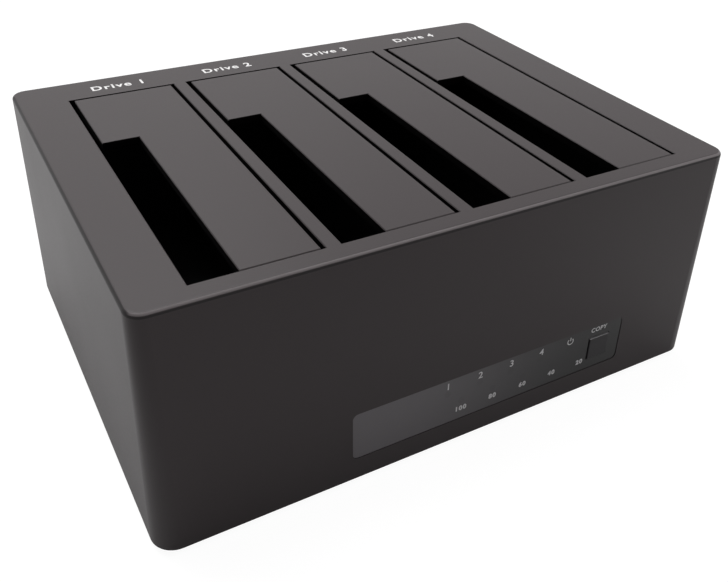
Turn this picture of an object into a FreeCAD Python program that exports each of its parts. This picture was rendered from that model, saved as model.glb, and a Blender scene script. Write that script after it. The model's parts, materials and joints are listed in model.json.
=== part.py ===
import FreeCAD, Part
import os
import re
import Sketcher
from FreeCAD import Placement, Rotation, Vector

# Four-bay drive duplicator: a drafted box with four flap-covered drive wells in its top,
# a sunk front panel strip with a copy button, and its sockets in the rear wall.
#
# Frame: origin on the table under the middle of the box, +X to the right, +Y to the rear, +Z up.
# All sizes are millimetres.  Driving sizes are in SIZES; RULES are worked out from them.
# Heights named *_rise are measured up from the housing's lower edge.

SIZES = {
    # the stack, from the table up
    "foot_height": 1.8,          # rubber foot below the housing's lower edge
    "base_thickness": 2.5,       # floor plate
    "standoff_height": 2.0,      # main board above the floor plate
    "board_thickness": 1.6,      # main circuit board
    "board_headroom": 13.9,      # room above the main board, under the wells
    "well_floor": 1.5,           # floor of a drive well
    "well_depth": 44.9,          # well floor below the top face
    # the housing
    "bay_width": 31.0,           # opening for a 3.5 inch drive, across
    "bay_length": 103.4,         # opening for a 3.5 inch drive, along
    "divider": 3.8,              # bar of the top face between two openings
    "side_margin": 13.85,        # top face beside the outer openings
    "front_margin": 5.7,         # top face in front of the openings
    "back_margin": 13.9,         # top face behind the openings, where the bays are numbered
    "draft_out": 2.0,            # how far each wall stands out at its foot
    "wall": 2.2,                 # side walls
    "top_skin": 2.5,             # top face
    "corner_radius": 4.0,        # upright corners, at the top
    "rim_radius": 1.1,           # rounding of the top rim
    "edge_break": 0.2,           # small chamfer on openings and flaps
    # the flap over each opening, and its slot for a 2.5 inch drive
    "slot_width": 11.15,
    "slot_length": 71.5,
    "flap_thickness": 2.2,
    "flap_left_gap": 1.4,
    "flap_right_gap": 1.1,
    "flap_front_gap": 0.15,
    "flap_back_gap": 0.45,
    "rebate_depth": 1.3,         # step under the top face that stops the flap's lip
    "lip_reach": 1.0,            # lip past the opening's rear edge
    "lip_room": 1.4,             # well past the opening's rear edge
    "lip_gap": 0.2,
    "lip_inset": 4.0,            # lip's ends from the flap's sides
    # the flap's hinge
    "hinge_out": 0.5,            # hinge axis past the opening's right edge
    "hinge_drop": 4.6,           # hinge axis below the top face
    "barrel_radius": 1.5,
    "pin_radius": 0.75,
    "pin_play": 0.05,
    "neck_root": 2.2,            # neck's root along the flap's underside
    "knuckle_inset": 6.0,        # knuckles from the opening's ends
    "knuckle_length": 16.0,
    "swing_gap": 0.3,            # open flap to the well's wall
    # the flap's torsion spring
    "wire_radius": 0.25,
    "coil_radius": 1.15,
    "coil_pitch": 0.6,
    "coil_start": 0.6,
    "spring_leg": 8.0,
    "spring_play": 0.05,
    # the drive wells
    "liner_wall": 1.2,
    "ear_gap": 0.4,              # between one well's hinge ear and the next well
    "post_radius": 3.0,
    "post_across": 20.0,
    "post_front": 8.0,
    "post_rear": 90.0,
    "screw_radius": 1.25,
    "screw_play": 0.05,
    "screw_bite": 8.0,
    "head_radius": 2.4,
    "head_height": 1.6,
    # the drive sockets
    "socket_left": 1.2,
    "socket_width": 5.6,
    "socket_front": 8.5,
    "socket_length": 42.0,
    "socket_rise": 7.0,          # above the well's floor
    "socket_play": 0.4,
    "blade_slot": 1.4,
    "blade_depth": 5.5,
    "power_blade": 21.4,
    "signal_blade": 10.8,
    "blade_gap": 3.0,
    # floor plate, bosses and feet
    "base_play": 0.2,
    "boss_radius": 3.2,
    "boss_bite": 1.0,            # boss sunk in the side wall
    "boss_inset": 12.0,          # boss from the front and rear edges
    "collar_height": 2.5,
    "base_head_radius": 2.7,
    "base_head_sink": 2.6,
    "base_screw_length": 16.0,
    "foot_radius": 5.0,
    "foot_sink": 0.8,
    "foot_inset": 15.0,
    "foot_chamfer": 0.5,
    "vent_length": 34.0,
    "vent_width": 2.0,
    "vent_pitch": 5.0,
    # main board
    "board_side_gap": 2.0,
    "board_edge_gap": 0.5,
    "standoff_radius": 2.5,
    "standoff_inset": 8.0,
    # circuit parts on the main board
    "chip_row": 16.0,            # chips behind the sockets
    "bridge_chip": 14.0,
    "bridge_chip_height": 1.4,
    "hub_chip": 9.0,
    "hub_chip_height": 1.0,
    "memory_chip": 5.2,
    "memory_chip_height": 1.8,
    "crystal_width": 4.6,
    "crystal_length": 11.2,
    "crystal_height": 3.4,
    "inductor_size": 8.0,
    "inductor_height": 4.2,
    "gate_width": 6.6,
    "gate_length": 6.1,
    "gate_height": 2.3,
    "capacitor_radius": 4.0,
    "capacitor_height": 11.5,
    # front panel
    "strip_width": 86.8,
    "strip_height": 14.5,
    "strip_shift": 10.25,        # strip's middle right of the housing's middle
    "strip_lift": 0.6,           # strip's lower edge above the main board's face
    "strip_radius": 1.5,
    "recess_depth": 0.45,
    "overlay_thickness": 0.3,
    "overlay_play": 0.05,
    "light_radius": 1.0,
    "light_to_button": 6.3,      # last light of the lower row to the button's middle
    "bay_light_start": 27.7,     # first bay light from the strip's left end
    "bay_light_rise": 9.9,       # above the strip's lower edge
    "bar_light_start": 32.1,
    "bar_light_rise": 6.2,
    "led_length": 1.6,
    "led_width": 1.0,
    "led_height": 0.8,
    "led_depth": 3.5,            # light board behind the front wall
    "led_board_thickness": 1.2,
    "led_board_gap": 0.5,
    "led_board_lift": 0.8,       # light board above the main board's face
    "led_board_margin": 2.5,     # light board past the button's flange
    "led_board_left": 6.0,       # light board past the first light
    "header_pitch": 2.54,
    "header_pin": 0.6,
    "header_pin_rise": 2.1,
    "header_hole_radius": 0.5,
    "header_depth": 2.5,
    "header_height": 3.4,
    "shield_gap": 0.3,
    "shield_wall": 1.2,          # around the tunnels
    "shield_left": 3.5,          # past the first light
    # copy button
    "button_inset": 8.0,         # button's middle from the strip's right end
    "button_rise": 7.1,          # button's middle above the strip's lower edge
    "button_size": 6.9,
    "button_gap": 0.3,
    "button_proud": 0.2,
    "button_travel": 0.5,
    "flange_reach": 0.6,
    "flange_thickness": 0.8,
    "flange_play": 0.1,
    "switch_size": 6.0,
    "switch_height": 2.0,
    "plunger_radius": 1.7,
    "plunger_play": 0.2,
    "plunger_root": 0.3,
    # rear sockets and power switch
    "port_setback": 0.3,
    "port_play": 0.4,
    "usb_across": 0.0,
    "usb_width": 12.0,
    "usb_height": 12.6,
    "usb_depth": 16.0,
    "usb_cavity": 9.5,
    "usb_corner": 0.6,
    "usb_mouth_half": 4.25,      # half the mouth's width, and its width over the bevels
    "usb_mouth_top_half": 3.0,
    "usb_mouth_floor": 1.2,      # heights above the main board's face
    "usb_bevel_low": 6.6,
    "usb_bevel_high": 8.1,
    "usb_mouth_top": 11.4,
    "usb_backing_half": 2.9,
    "usb_tongue_half": 2.8,
    "usb_tongue_low": 3.0,
    "usb_tongue_thick": 3.0,
    "usb_cap_half": 2.2,
    "usb_cap_low": 8.8,
    "usb_cap_thick": 1.6,
    "usb_lining": 0.1,           # backing to the mouth's floor and top
    "jack_across": 52.0,
    "jack_width": 9.0,
    "jack_height": 11.0,
    "jack_depth": 13.5,
    "jack_bore": 3.15,
    "jack_bore_depth": 9.5,
    "jack_bore_lift": 0.6,       # bore above the jack's middle
    "jack_pin": 1.2,
    "contact_setback": 1.0,      # tongues and pin behind their socket's face
    "rocker_across": 28.0,
    "rocker_rise": 6.9,          # switch's middle above the main board's face
    "bezel_width": 15.0,
    "bezel_height": 10.6,
    "bezel_thickness": 1.0,
    "bezel_sink": 1.25,          # switch's seat below the rear wall's face
    "switch_body_width": 13.2,
    "switch_body_height": 8.6,
    "switch_body_depth": 12.0,
    "rocker_length": 9.8,
    "rocker_height": 6.6,
    "rocker_play": 0.15,
    "rocker_tilt": 10.0,
    "pivot_depth": 3.8,
    "pivot_radius": 1.0,
    "pivot_length": 0.75,        # stub past the rocker's side
    "pivot_end_play": 0.1,
    "key_corner": 0.35,          # rocker's ends below its pivot's depth
    "key_dip": 0.8,              # rocker's middle below its pivot's depth
    "key_side": 1.6,             # straight side in front of the pivot
    "key_tail": 1.6,             # tail behind the pivot
    "key_tail_half": 2.2,
    "rocker_room": 3.2,          # hollow behind the pivot
    "terminal_width": 1.2,
    "terminal_thickness": 0.8,
    "terminal_shift": 4.0,
    "terminal_inset": 3.0,
}

RULES = {
    "pitch": "bay_width + divider",
    "top_width": "4 * bay_width + 3 * divider + 2 * side_margin",
    "top_depth": "front_margin + bay_length + back_margin",
    "board_rise": "base_thickness + standoff_height + board_thickness",
    "under_rise": "board_rise + board_headroom",
    "shell_height": "under_rise + well_floor + well_depth",
    "top_z": "foot_height + shell_height",
    "base_top": "foot_height + base_thickness",
    "board_top": "foot_height + board_rise",
    "draft_angle": "atan(draft_out / shell_height)",
    # a bay's own frame: origin at the front left corner of its opening, in the top face
    "bay_x": "-top_width / 2 + side_margin",
    "bay_y": "-top_depth / 2 + front_margin",
    "flap_right": "bay_width - flap_right_gap",
    "flap_back": "bay_length - flap_back_gap",
    "hinge_x": "bay_width + hinge_out",
    "lip_top": "-(top_skin - rebate_depth + lip_gap)",
    "well_right": "hinge_x - hinge_drop + flap_thickness + swing_gap",
    "well_back": "bay_length + lip_room",
    "right_wall_drop": "hinge_drop + hinge_out + flap_right_gap + neck_root + swing_gap",
    "ear_right": "pitch - liner_wall - ear_gap",
    "floor_drop": "well_depth + well_floor",
    "board_drop": "floor_drop + board_headroom",
    "coil_end": "coil_start + 5.5 * coil_pitch",
    "seat_half": "3 * wire_radius",
    "seat_drop": "hinge_drop - coil_radius - wire_radius - spring_play",
    # bosses and boards
    "boss_x": "top_width / 2 - wall - boss_radius + boss_bite",
    "boss_y": "top_depth / 2 - boss_inset",
    "board_x": "boss_x - boss_radius - board_side_gap",
    "board_back": "top_depth / 2 + draft_out * (1 - board_rise / shell_height) - wall - board_edge_gap",
    "led_top_rise": "under_rise - led_board_gap",
    "inner_front": "-top_depth / 2 - draft_out * (1 - led_top_rise / shell_height) + wall",
    "led_front": "inner_front + led_depth",
    "led_back": "led_front + led_board_thickness",
    "board_front": "led_back + board_edge_gap",
    "foot_x": "top_width / 2 - foot_inset",
    "foot_y": "top_depth / 2 - foot_inset",
    # front panel strip
    "strip_rise": "board_rise + strip_lift",
    "strip_left": "strip_shift - strip_width / 2",
    "strip_right": "strip_shift + strip_width / 2",
    "button_x": "strip_right - button_inset",
    "light_pitch": "(strip_width - button_inset - light_to_button - bar_light_start) / 4",
    "button_mid_rise": "strip_rise + button_rise",
    "button_half": "button_size / 2",
    "hole_half": "button_size / 2 + button_gap",
    "flange_half": "hole_half + flange_reach",
    "flange_front": "inner_front + flange_play",
    "flange_back": "flange_front + flange_thickness",
    "switch_top": "led_front - switch_height",
    # rear wall, at the height of the sockets' middle
    "rear_face": "top_depth / 2 + draft_out * (1 - (board_rise + rocker_rise) / shell_height)",
    "port_face": "rear_face - port_setback",
    "bezel_seat": "rear_face - bezel_sink",
    "bezel_face": "bezel_seat + bezel_thickness",
    "pivot_y": "bezel_face - pivot_depth",
    "rocker_z": "board_top + rocker_rise",
}

BAYS = ("a", "b", "c", "d")
LIGHTS_IN_ROW = 5
HEADER_PINS = 8
VENT_SLOTS = 9

doc = FreeCAD.newDocument("drive_duplicator")
sheet = doc.addObject("Spreadsheet::Sheet", "sizes")
for row, (alias, number) in enumerate(SIZES.items(), start=1):
    sheet.set(f"A{row}", alias.replace("_", " "))
    sheet.set(f"B{row}", str(number))
    sheet.setAlias(f"B{row}", alias)
doc.recompute()

subparts = []


# ---------------------------------------------------------------- sizes and small helpers

def formula(text):
    """Write a rule out in full: a derived word becomes its rule, a driving word its cell."""
    def word(match):
        name = match.group(0)
        if name in RULES:
            return "(" + formula(RULES[name]) + ")"
        if name in SIZES:
            return "sizes." + name
        return name
    return re.sub(r"[a-z][a-z0-9_]*", word, str(text))


def value(text):
    """The number that a rule gives for the sheet's present sizes."""
    return float(sheet.evalExpression(formula(text)))


def bind(item, path, text):
    """Tie one property of an object to the sheet."""
    item.setExpression(path, formula(text))


def place(item, x="0", y="0", z="0"):
    """Tie an object's position to the sheet."""
    for axis, text in zip("xyz", (x, y, z)):
        bind(item, f"Placement.Base.{axis}", text)
    return item


def subpart(item, label):
    """Name a finished piece and keep it for export."""
    item.Label = label
    subparts.append(item)
    return item


def box(name, x, y, z):
    """A box given by its low and high end along each axis."""
    item = doc.addObject("Part::Box", name)
    for (low, high), side in zip((x, y, z), ("Length", "Width", "Height")):
        bind(item, side, f"({high}) - ({low})")
    return place(item, x[0], y[0], z[0])


def rod(name, radius, along, x, y, z):
    """A cylinder along X, Y or Z; the coordinate along it is a (low, high) pair."""
    turns = {"x": Rotation(Vector(0, 1, 0), 90), "y": Rotation(Vector(1, 0, 0), -90), "z": Rotation()}
    item = doc.addObject("Part::Cylinder", name)
    item.Placement = Placement(Vector(), turns[along])
    low, high = {"x": x, "y": y, "z": z}[along]
    bind(item, "Radius", radius)
    bind(item, "Height", f"({high}) - ({low})")
    start = [low if axis == along else text for axis, text in zip("xyz", (x, y, z))]
    return place(item, *start)


def fuse(name, pieces):
    item = doc.addObject("Part::MultiFuse", name)
    item.Shapes = pieces
    return item


def cut(name, base, tools):
    item = doc.addObject("Part::Cut", name)
    item.Base = base
    item.Tool = tools[0] if len(tools) == 1 else fuse(name + "_tools", tools)
    return item


def group(name, pieces):
    """Several like pieces kept as one node of separate solids."""
    item = doc.addObject("Part::Compound", name)
    item.Links = pieces
    return item


# ---------------------------------------------------------------- bodies and sketches

def new_body(name):
    return doc.addObject("PartDesign::Body", name)


def sketch_on(body, name, plane="XY_Plane", offset="0"):
    """A sketch on one of the body's own origin planes, moved along the plane's normal."""
    item = body.newObject("Sketcher::SketchObject", name)
    support = [part for part in body.Origin.OriginFeatures if part.Role == plane][0]
    item.AttachmentSupport = (support, [""])
    item.MapMode = "FlatFace"
    bind(item, "AttachmentOffset.Base.z", offset)
    return item


def pin_point(sketch, geometry, end, x, y):
    """Hold one point of the sketch at (x, y); None leaves that direction free."""
    for kind, text in (("DistanceX", x), ("DistanceY", y)):
        if text is not None:
            index = sketch.addConstraint(Sketcher.Constraint(kind, -1, 1, geometry, end, value(text)))
            bind(sketch, f"Constraints[{index}]", text)


def polygon(sketch, corners):
    """A closed outline of straight lines through the given corners."""
    points = [Vector(value(x), value(y), 0) for x, y in corners]
    count = len(points)
    first = sketch.GeometryCount
    for index in range(count):
        sketch.addGeometry(Part.LineSegment(points[index], points[(index + 1) % count]), False)
    for index, (x, y) in enumerate(corners):
        following = first + (index + 1) % count
        sketch.addConstraint(Sketcher.Constraint("Coincident", first + index, 2, following, 1))
        pin_point(sketch, first + index, 1, x, y)
    return sketch


def rectangle(left, right, front, back):
    """Corners of a plain rectangle, for polygon()."""
    return [(left, front), (right, front), (right, back), (left, back)]


def rounded_rectangle(sketch, left, right, bottom, top, radius):
    """A rectangle whose corners are arcs: four lines, four tangent arcs of one radius."""
    x0, x1, y0, y1, r = (value(text) for text in (left, right, bottom, top, radius))
    corners = ((x1 - r, y0 + r, -90), (x1 - r, y1 - r, 0), (x0 + r, y1 - r, 90), (x0 + r, y0 + r, 180))
    lines = (
        (Vector(x0 + r, y0, 0), Vector(x1 - r, y0, 0)),
        (Vector(x1, y0 + r, 0), Vector(x1, y1 - r, 0)),
        (Vector(x1 - r, y1, 0), Vector(x0 + r, y1, 0)),
        (Vector(x0, y1 - r, 0), Vector(x0, y0 + r, 0)),
    )
    for line, (cx, cy, start) in zip(lines, corners):
        sketch.addGeometry(Part.LineSegment(*line), False)
        circle = Part.Circle(Vector(cx, cy, 0), Vector(0, 0, 1), r)
        first, last = FreeCAD.Units.Quantity(start, "deg"), FreeCAD.Units.Quantity(start + 90, "deg")
        arc = Part.ArcOfCircle(circle, first.getValueAs("rad").Value, last.getValueAs("rad").Value)
        sketch.addGeometry(arc, False)
    for index in range(0, 8, 2):
        sketch.addConstraint(Sketcher.Constraint("Tangent", index, 2, index + 1, 1))
        sketch.addConstraint(Sketcher.Constraint("Tangent", index + 1, 2, (index + 2) % 8, 1))
    for index, kind in ((0, "Horizontal"), (2, "Vertical"), (4, "Horizontal"), (6, "Vertical")):
        sketch.addConstraint(Sketcher.Constraint(kind, index))
    for index in (3, 5, 7):
        sketch.addConstraint(Sketcher.Constraint("Equal", 1, index))
    size = sketch.addConstraint(Sketcher.Constraint("Radius", 1, r))
    bind(sketch, f"Constraints[{size}]", radius)
    pin_point(sketch, 0, 1, None, bottom)
    pin_point(sketch, 2, 1, right, None)
    pin_point(sketch, 4, 1, None, top)
    pin_point(sketch, 6, 1, left, None)
    return sketch


def circles(sketch, centres, radius):
    """Circles of one radius about the given centres."""
    for x, y in centres:
        circle = Part.Circle(Vector(value(x), value(y), 0), Vector(0, 0, 1), value(radius))
        index = sketch.addGeometry(circle, False)
        size = sketch.addConstraint(Sketcher.Constraint("Radius", index, value(radius)))
        bind(sketch, f"Constraints[{size}]", radius)
        pin_point(sketch, index, 3, x, y)
    return sketch


def pad(body, name, sketch, length, reverse=False, taper="0"):
    item = body.newObject("PartDesign::Pad", name)
    item.Profile = sketch
    item.Reversed = reverse
    bind(item, "Length", length)
    bind(item, "TaperAngle", taper)
    doc.recompute()
    return item


def pocket(body, name, sketch, length, reverse=False, taper="0"):
    """Cut a sketch into the body, and make sure that it took material away."""
    before = body.Shape.Volume
    item = body.newObject("PartDesign::Pocket", name)
    item.Profile = sketch
    item.Reversed = reverse
    bind(item, "Length", length)
    bind(item, "TaperAngle", taper)
    doc.recompute()
    if body.Shape.Volume > before - 1e-6:
        raise RuntimeError(f"{body.Label}: {name} cuts nothing")
    return item


def edges_where(feature, test):
    """Names of the feature's edges whose two ends and middle all pass a test."""
    names = []
    for index, edge in enumerate(feature.Shape.Edges, start=1):
        middle = edge.valueAt((edge.FirstParameter + edge.LastParameter) / 2)
        points = [vertex.Point for vertex in edge.Vertexes] + [middle]
        if all(test(point) for point in points):
            names.append(f"Edge{index}")
    return names


def dress(body, kind, name, base, edges, size):
    """A fillet or a chamfer on chosen edges of a feature."""
    item = body.newObject(f"PartDesign::{kind}", name)
    item.Base = (base, edges)
    bind(item, "Radius" if kind == "Fillet" else "Size", size)
    doc.recompute()
    return item


def both(*spans):
    """Every (x, y) pair of the signs of two rules, such as the four corners of a rectangle."""
    x, y = spans
    return [(sx + f"({x})", sy + f"({y})") for sx in ("-", "") for sy in ("-", "")]


def around(middle, size):
    """The two ends of a length centred on a place."""
    return (f"{middle} - ({size}) / 2", f"{middle} + ({size}) / 2")


def bay_left(index):
    return f"bay_x + {index} * pitch"


# ---------------------------------------------------------------- housing

def housing_shell():
    """The drafted outer box, hollowed from below, with the four openings and the screw bosses."""
    body = new_body("housing_shell")

    def outline(name, inset):
        """The housing's outline at its foot, drawn in by an inset; its radius shrinks with the draft."""
        half_x = f"top_width / 2 + draft_out - {inset}"
        half_y = f"top_depth / 2 + draft_out - {inset}"
        drawing = sketch_on(body, name, "XY_Plane", "foot_height")
        return rounded_rectangle(drawing, f"-({half_x})", half_x, f"-({half_y})", half_y,
                                 f"corner_radius + draft_out - {inset}")

    outer = pad(body, "outer_block", outline("outer_foot", "0"), "shell_height", taper="-draft_angle")
    top = value("top_z")
    rim = edges_where(outer, lambda point: abs(point.z - top) < 1e-4)
    dress(body, "Fillet", "rim_rounding", outer, rim, "rim_radius")
    pocket(body, "cavity", outline("inner_foot", "wall"), "shell_height - top_skin", reverse=True,
           taper="-draft_angle")

    bosses = sketch_on(body, "boss_circles", "XY_Plane", "base_top + collar_height")
    circles(bosses, both("boss_x", "boss_y"), "boss_radius")
    pad(body, "bosses", bosses, "top_z - top_skin / 2 - base_top - collar_height")
    holes = sketch_on(body, "boss_hole_circles", "XY_Plane", "base_top + collar_height")
    circles(holes, both("boss_x", "boss_y"), "screw_radius + screw_play")
    pocket(body, "boss_holes", holes, "base_screw_length", reverse=True)

    opening = sketch_on(body, "opening_outline", "XY_Plane", "top_z")
    polygon(opening, rectangle(bay_left(0), bay_left(0) + " + bay_width", "bay_y", "bay_y + bay_length"))
    first = pocket(body, "bay_opening", opening, "2 * top_skin")
    repeat_for_bays(body, "bay_openings", first, opening)

    rebate = sketch_on(body, "rebate_outline", "XY_Plane", "top_z - top_skin")
    side = bay_left(0) + " + flap_left_gap + lip_inset - 1"
    other = bay_left(0) + " + flap_right - lip_inset + 1"
    polygon(rebate, rectangle(side, other, "bay_y + bay_length - 1", "bay_y + well_back"))
    first = pocket(body, "lip_rebate", rebate, "rebate_depth", reverse=True)
    last = repeat_for_bays(body, "lip_rebates", first, rebate)

    reach_x = value("top_width / 2 - side_margin / 2")
    mouths = edges_where(last, lambda point: abs(point.z - top) < 1e-4 and abs(point.x) < reach_x)
    dress(body, "Chamfer", "opening_edges", last, mouths, "edge_break")
    return body


def repeat_for_bays(body, name, feature, drawing):
    """Repeat one bay's feature for the others, one pitch apart."""
    item = body.newObject("PartDesign::LinearPattern", name)
    item.Originals = [feature]
    item.Direction = (drawing, ["H_Axis"])
    item.Occurrences = len(BAYS)
    bind(item, "Length", f"{len(BAYS) - 1} * pitch")
    body.Tip = item
    doc.recompute()
    return item


def on_front_wall(item):
    """Lay a piece drawn flat in X-Y on the leaning front wall, its own Z pointing out."""
    item.Placement = Placement(Vector(), Rotation(Vector(1, 0, 0), 90))
    bind(item, "Placement.Rotation.Angle", "90 deg - draft_angle")
    return place(item, "0", "-top_depth / 2 - draft_out", "foot_height")


def light_places():
    """Heights and places of the status lights: one row per bay and power, one progress row."""
    spots = []
    for start, rise in (("bay_light_start", "bay_light_rise"), ("bar_light_start", "bar_light_rise")):
        for index in range(LIGHTS_IN_ROW):
            x = f"strip_left + {start} + {index} * light_pitch"
            spots.append((x, f"foot_height + strip_rise + {rise}"))
    return spots


def front_tools():
    """What is cut from the front wall: the strip's recess, the light holes and the button's hole."""
    recess = new_body("strip_recess")
    drawing = sketch_on(recess, "strip_recess_outline", "XY_Plane", "-recess_depth")
    rounded_rectangle(drawing, "strip_left - overlay_play", "strip_right + overlay_play",
                      "strip_rise - overlay_play", "strip_rise + strip_height + overlay_play",
                      "strip_radius + overlay_play")
    pad(recess, "strip_recess_pad", drawing, "recess_depth + wall")
    tools = [on_front_wall(recess)]
    span = ("-top_depth / 2 - draft_out - wall", "inner_front + wall / 2")
    for index, (x, z) in enumerate(light_places()):
        tools.append(rod(f"light_hole_{index}", "light_radius", "y", x, span, z))
    middle = "foot_height + button_mid_rise"
    tools.append(box("button_hole", ("button_x - hole_half", "button_x + hole_half"), span,
                     (f"{middle} - hole_half", f"{middle} + hole_half")))
    return tools


def rear_tools():
    """What is cut from the rear wall: windows for the sockets and the power switch's seat."""
    through = ("rear_face - 2 * wall", "rear_face + wall")
    tools = []
    for name, across, width, height in (("usb", "usb_across", "usb_width", "usb_height"),
                                        ("jack", "jack_across", "jack_width", "jack_height")):
        tools.append(box(f"{name}_window", around(across, f"{width} + 2 * port_play"), through,
                         ("board_top - port_play", f"board_top + {height} + port_play")))
    for name, width, height, depth in (
            ("switch_window", "switch_body_width", "switch_body_height", through),
            ("switch_seat", "bezel_width", "bezel_height", ("bezel_seat", "rear_face + wall"))):
        tools.append(box(name, around("rocker_across", f"{width} + 2 * rocker_play"), depth,
                         around("rocker_z", f"{height} + 2 * rocker_play")))
    return tools


def upper_housing():
    subpart(cut("upper_housing", housing_shell(), front_tools() + rear_tools()), "upper_housing")


# ---------------------------------------------------------------- floor plate, feet and its screws

def base_plate():
    """Floor plate inside the walls' foot, with board standoffs, screw collars, vents and foot seats."""
    body = new_body("base_plate")
    half_x = "top_width / 2 + draft_out - wall - base_play"
    half_y = "top_depth / 2 + draft_out - wall - base_play"
    plate = sketch_on(body, "plate_outline", "XY_Plane", "foot_height")
    rounded_rectangle(plate, f"-({half_x})", half_x, f"-({half_y})", half_y,
                      "corner_radius + draft_out - wall - base_play")
    pad(body, "plate", plate, "base_thickness")

    collars = sketch_on(body, "collar_circles", "XY_Plane", "foot_height + base_thickness / 2")
    circles(collars, both("boss_x", "boss_y"), "boss_radius")
    pad(body, "collars", collars, "base_thickness / 2 + collar_height")

    standoffs = sketch_on(body, "standoff_circles", "XY_Plane", "foot_height + base_thickness / 2")
    circles(standoffs, standoff_places(), "standoff_radius")
    pad(body, "standoffs", standoffs, "base_thickness / 2 + standoff_height")

    bores = sketch_on(body, "screw_bore_circles", "XY_Plane", "foot_height")
    circles(bores, both("boss_x", "boss_y"), "screw_radius + screw_play")
    pocket(body, "screw_bores", bores, "base_thickness + collar_height", reverse=True)
    sinks = sketch_on(body, "head_sink_circles", "XY_Plane", "foot_height")
    circles(sinks, both("boss_x", "boss_y"), "base_head_radius + screw_play")
    pocket(body, "head_sinks", sinks, "base_head_sink", reverse=True)
    seats = sketch_on(body, "foot_seat_circles", "XY_Plane", "foot_height")
    circles(seats, both("foot_x", "foot_y"), "foot_radius + screw_play")
    pocket(body, "foot_seats", seats, "foot_sink", reverse=True)

    slot = sketch_on(body, "vent_outline", "XY_Plane", "foot_height")
    first_vent = f"(-{VENT_SLOTS - 1} / 2 * vent_pitch)"
    rounded_rectangle(slot, "-vent_length / 2", "vent_length / 2", f"{first_vent} - vent_width / 2",
                      f"{first_vent} + vent_width / 2", "vent_width / 2 - 0.01")
    first = pocket(body, "vent", slot, "base_thickness", reverse=True)
    vents = body.newObject("PartDesign::LinearPattern", "vents")
    vents.Originals = [first]
    vents.Direction = (slot, ["V_Axis"])
    vents.Occurrences = VENT_SLOTS
    bind(vents, "Length", f"{VENT_SLOTS - 1} * vent_pitch")
    body.Tip = vents
    doc.recompute()
    subpart(body, "base_plate")


def standoff_places():
    """Six standoffs: left, middle and right, at the board's front and rear."""
    across = ("-(board_x - standoff_inset)", "0", "board_x - standoff_inset")
    along = ("board_front + 2 * standoff_inset", "board_back - 2 * standoff_inset")
    return [(x, y) for x in across for y in along]


def rubber_feet():
    feet = []
    for index, (x, y) in enumerate(both("foot_x", "foot_y")):
        shaft = rod(f"foot_disc_{index}", "foot_radius", "z", x, y, ("0", "foot_height + foot_sink"))
        doc.recompute()
        foot = doc.addObject("Part::Chamfer", f"foot_{index}")
        foot.Base = shaft
        rings = edges_where(shaft, lambda point: abs(point.z) < 1e-6)
        size = value("foot_chamfer")
        foot.Edges = [(int(name[4:]), size, size) for name in rings]
        feet.append(foot)
    subpart(group("rubber_feet", feet), "rubber_feet")


def screw(name, x, y, head_low, head, length):
    """A cross-head screw pointing up: its head's underside is the low end."""
    radius, height = head
    head_top = f"{head_low} + {height}"
    solid = fuse(name + "_blank", [
        rod(name + "_head", radius, "z", x, y, (head_low, head_top)),
        rod(name + "_shank", "screw_radius", "z", x, y,
            (f"{head_top} - {height} / 2", f"{head_top} + {length}")),
    ])
    arm = "2.2 * screw_radius"
    blade = "screw_radius / 2"
    depth = (f"{head_low} - 1", f"{head_low} + {height} * 0.6")
    cross = [
        box(name + "_cross_x", around(x, arm), around(y, blade), depth),
        box(name + "_cross_y", around(x, blade), around(y, arm), depth),
    ]
    return cut(name, solid, cross)


def base_screws():
    low = "foot_height + base_head_sink - head_height"
    head = ("base_head_radius", "head_height")
    reach = "base_thickness + collar_height - base_head_sink + base_screw_length - 2"
    screws = [screw(f"base_screw_{index}", x, y, low, head, reach)
              for index, (x, y) in enumerate(both("boss_x", "boss_y"))]
    subpart(group("base_screws", screws), "base_screws")


# ---------------------------------------------------------------- drive bays

def in_bay(item, index):
    """Place a piece drawn in a bay's own frame."""
    return place(item, bay_left(index), "bay_y", "top_z")


def bay_liner(index, bay):
    """A well: floor, four walls with hinge ears, and two posts that carry it on the main board."""
    name = f"liner_{bay}"
    deep = ("-floor_drop", "-top_skin")
    wide = ("-liner_wall", "ear_right")
    long = ("-liner_wall", "well_back + liner_wall")
    pieces = [
        box(name + "_floor", ("-liner_wall", "well_right + liner_wall"), long,
            ("-floor_drop", "-well_depth")),
        box(name + "_left", ("-liner_wall", "0"), long, deep),
        box(name + "_right", ("well_right", "well_right + liner_wall"), long,
            ("-floor_drop", "-right_wall_drop")),
        box(name + "_front", wide, ("-liner_wall", "0"), deep),
        box(name + "_back", wide, ("well_back", "well_back + liner_wall"), deep),
    ]
    tools = [
        box(name + "_socket_hole",
            ("socket_left - socket_play", "socket_left + socket_width + socket_play"),
            ("socket_front - socket_play", "socket_front + socket_length + socket_play"),
            ("-floor_drop - 1", "-well_depth + 1")),
        rod(name + "_pin_hole", "pin_radius + pin_play / 2", "y", "hinge_x",
            ("-liner_wall - 1", "well_back + liner_wall + 1"), "-hinge_drop"),
        rod(name + "_spring_hole", "wire_radius + spring_play", "y", "hinge_x",
            ("-liner_wall - 1", "1"), "-hinge_drop - coil_radius"),
        box(name + "_seat_notch", ("well_right - 1", "well_right + liner_wall + 1"),
            ("coil_end - seat_half - swing_gap", "coil_end + seat_half + swing_gap"),
            ("-hinge_drop - spring_leg - swing_gap", "-right_wall_drop + 1")),
    ]
    for end, along in (("front", "post_front"), ("rear", "post_rear")):
        pieces.append(rod(f"{name}_post_{end}", "post_radius", "z", "post_across", along,
                          ("-board_drop", "-floor_drop + well_floor / 2")))
        tools.append(rod(f"{name}_screw_hole_{end}", "screw_radius + screw_play", "z", "post_across",
                         along, ("-board_drop - 1", "-board_drop + screw_bite + 1")))
    item = cut(f"bay_liner_{bay}", fuse(name + "_walls", pieces), tools)
    subpart(in_bay(item, index), f"bay_liner_{bay}")


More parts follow.
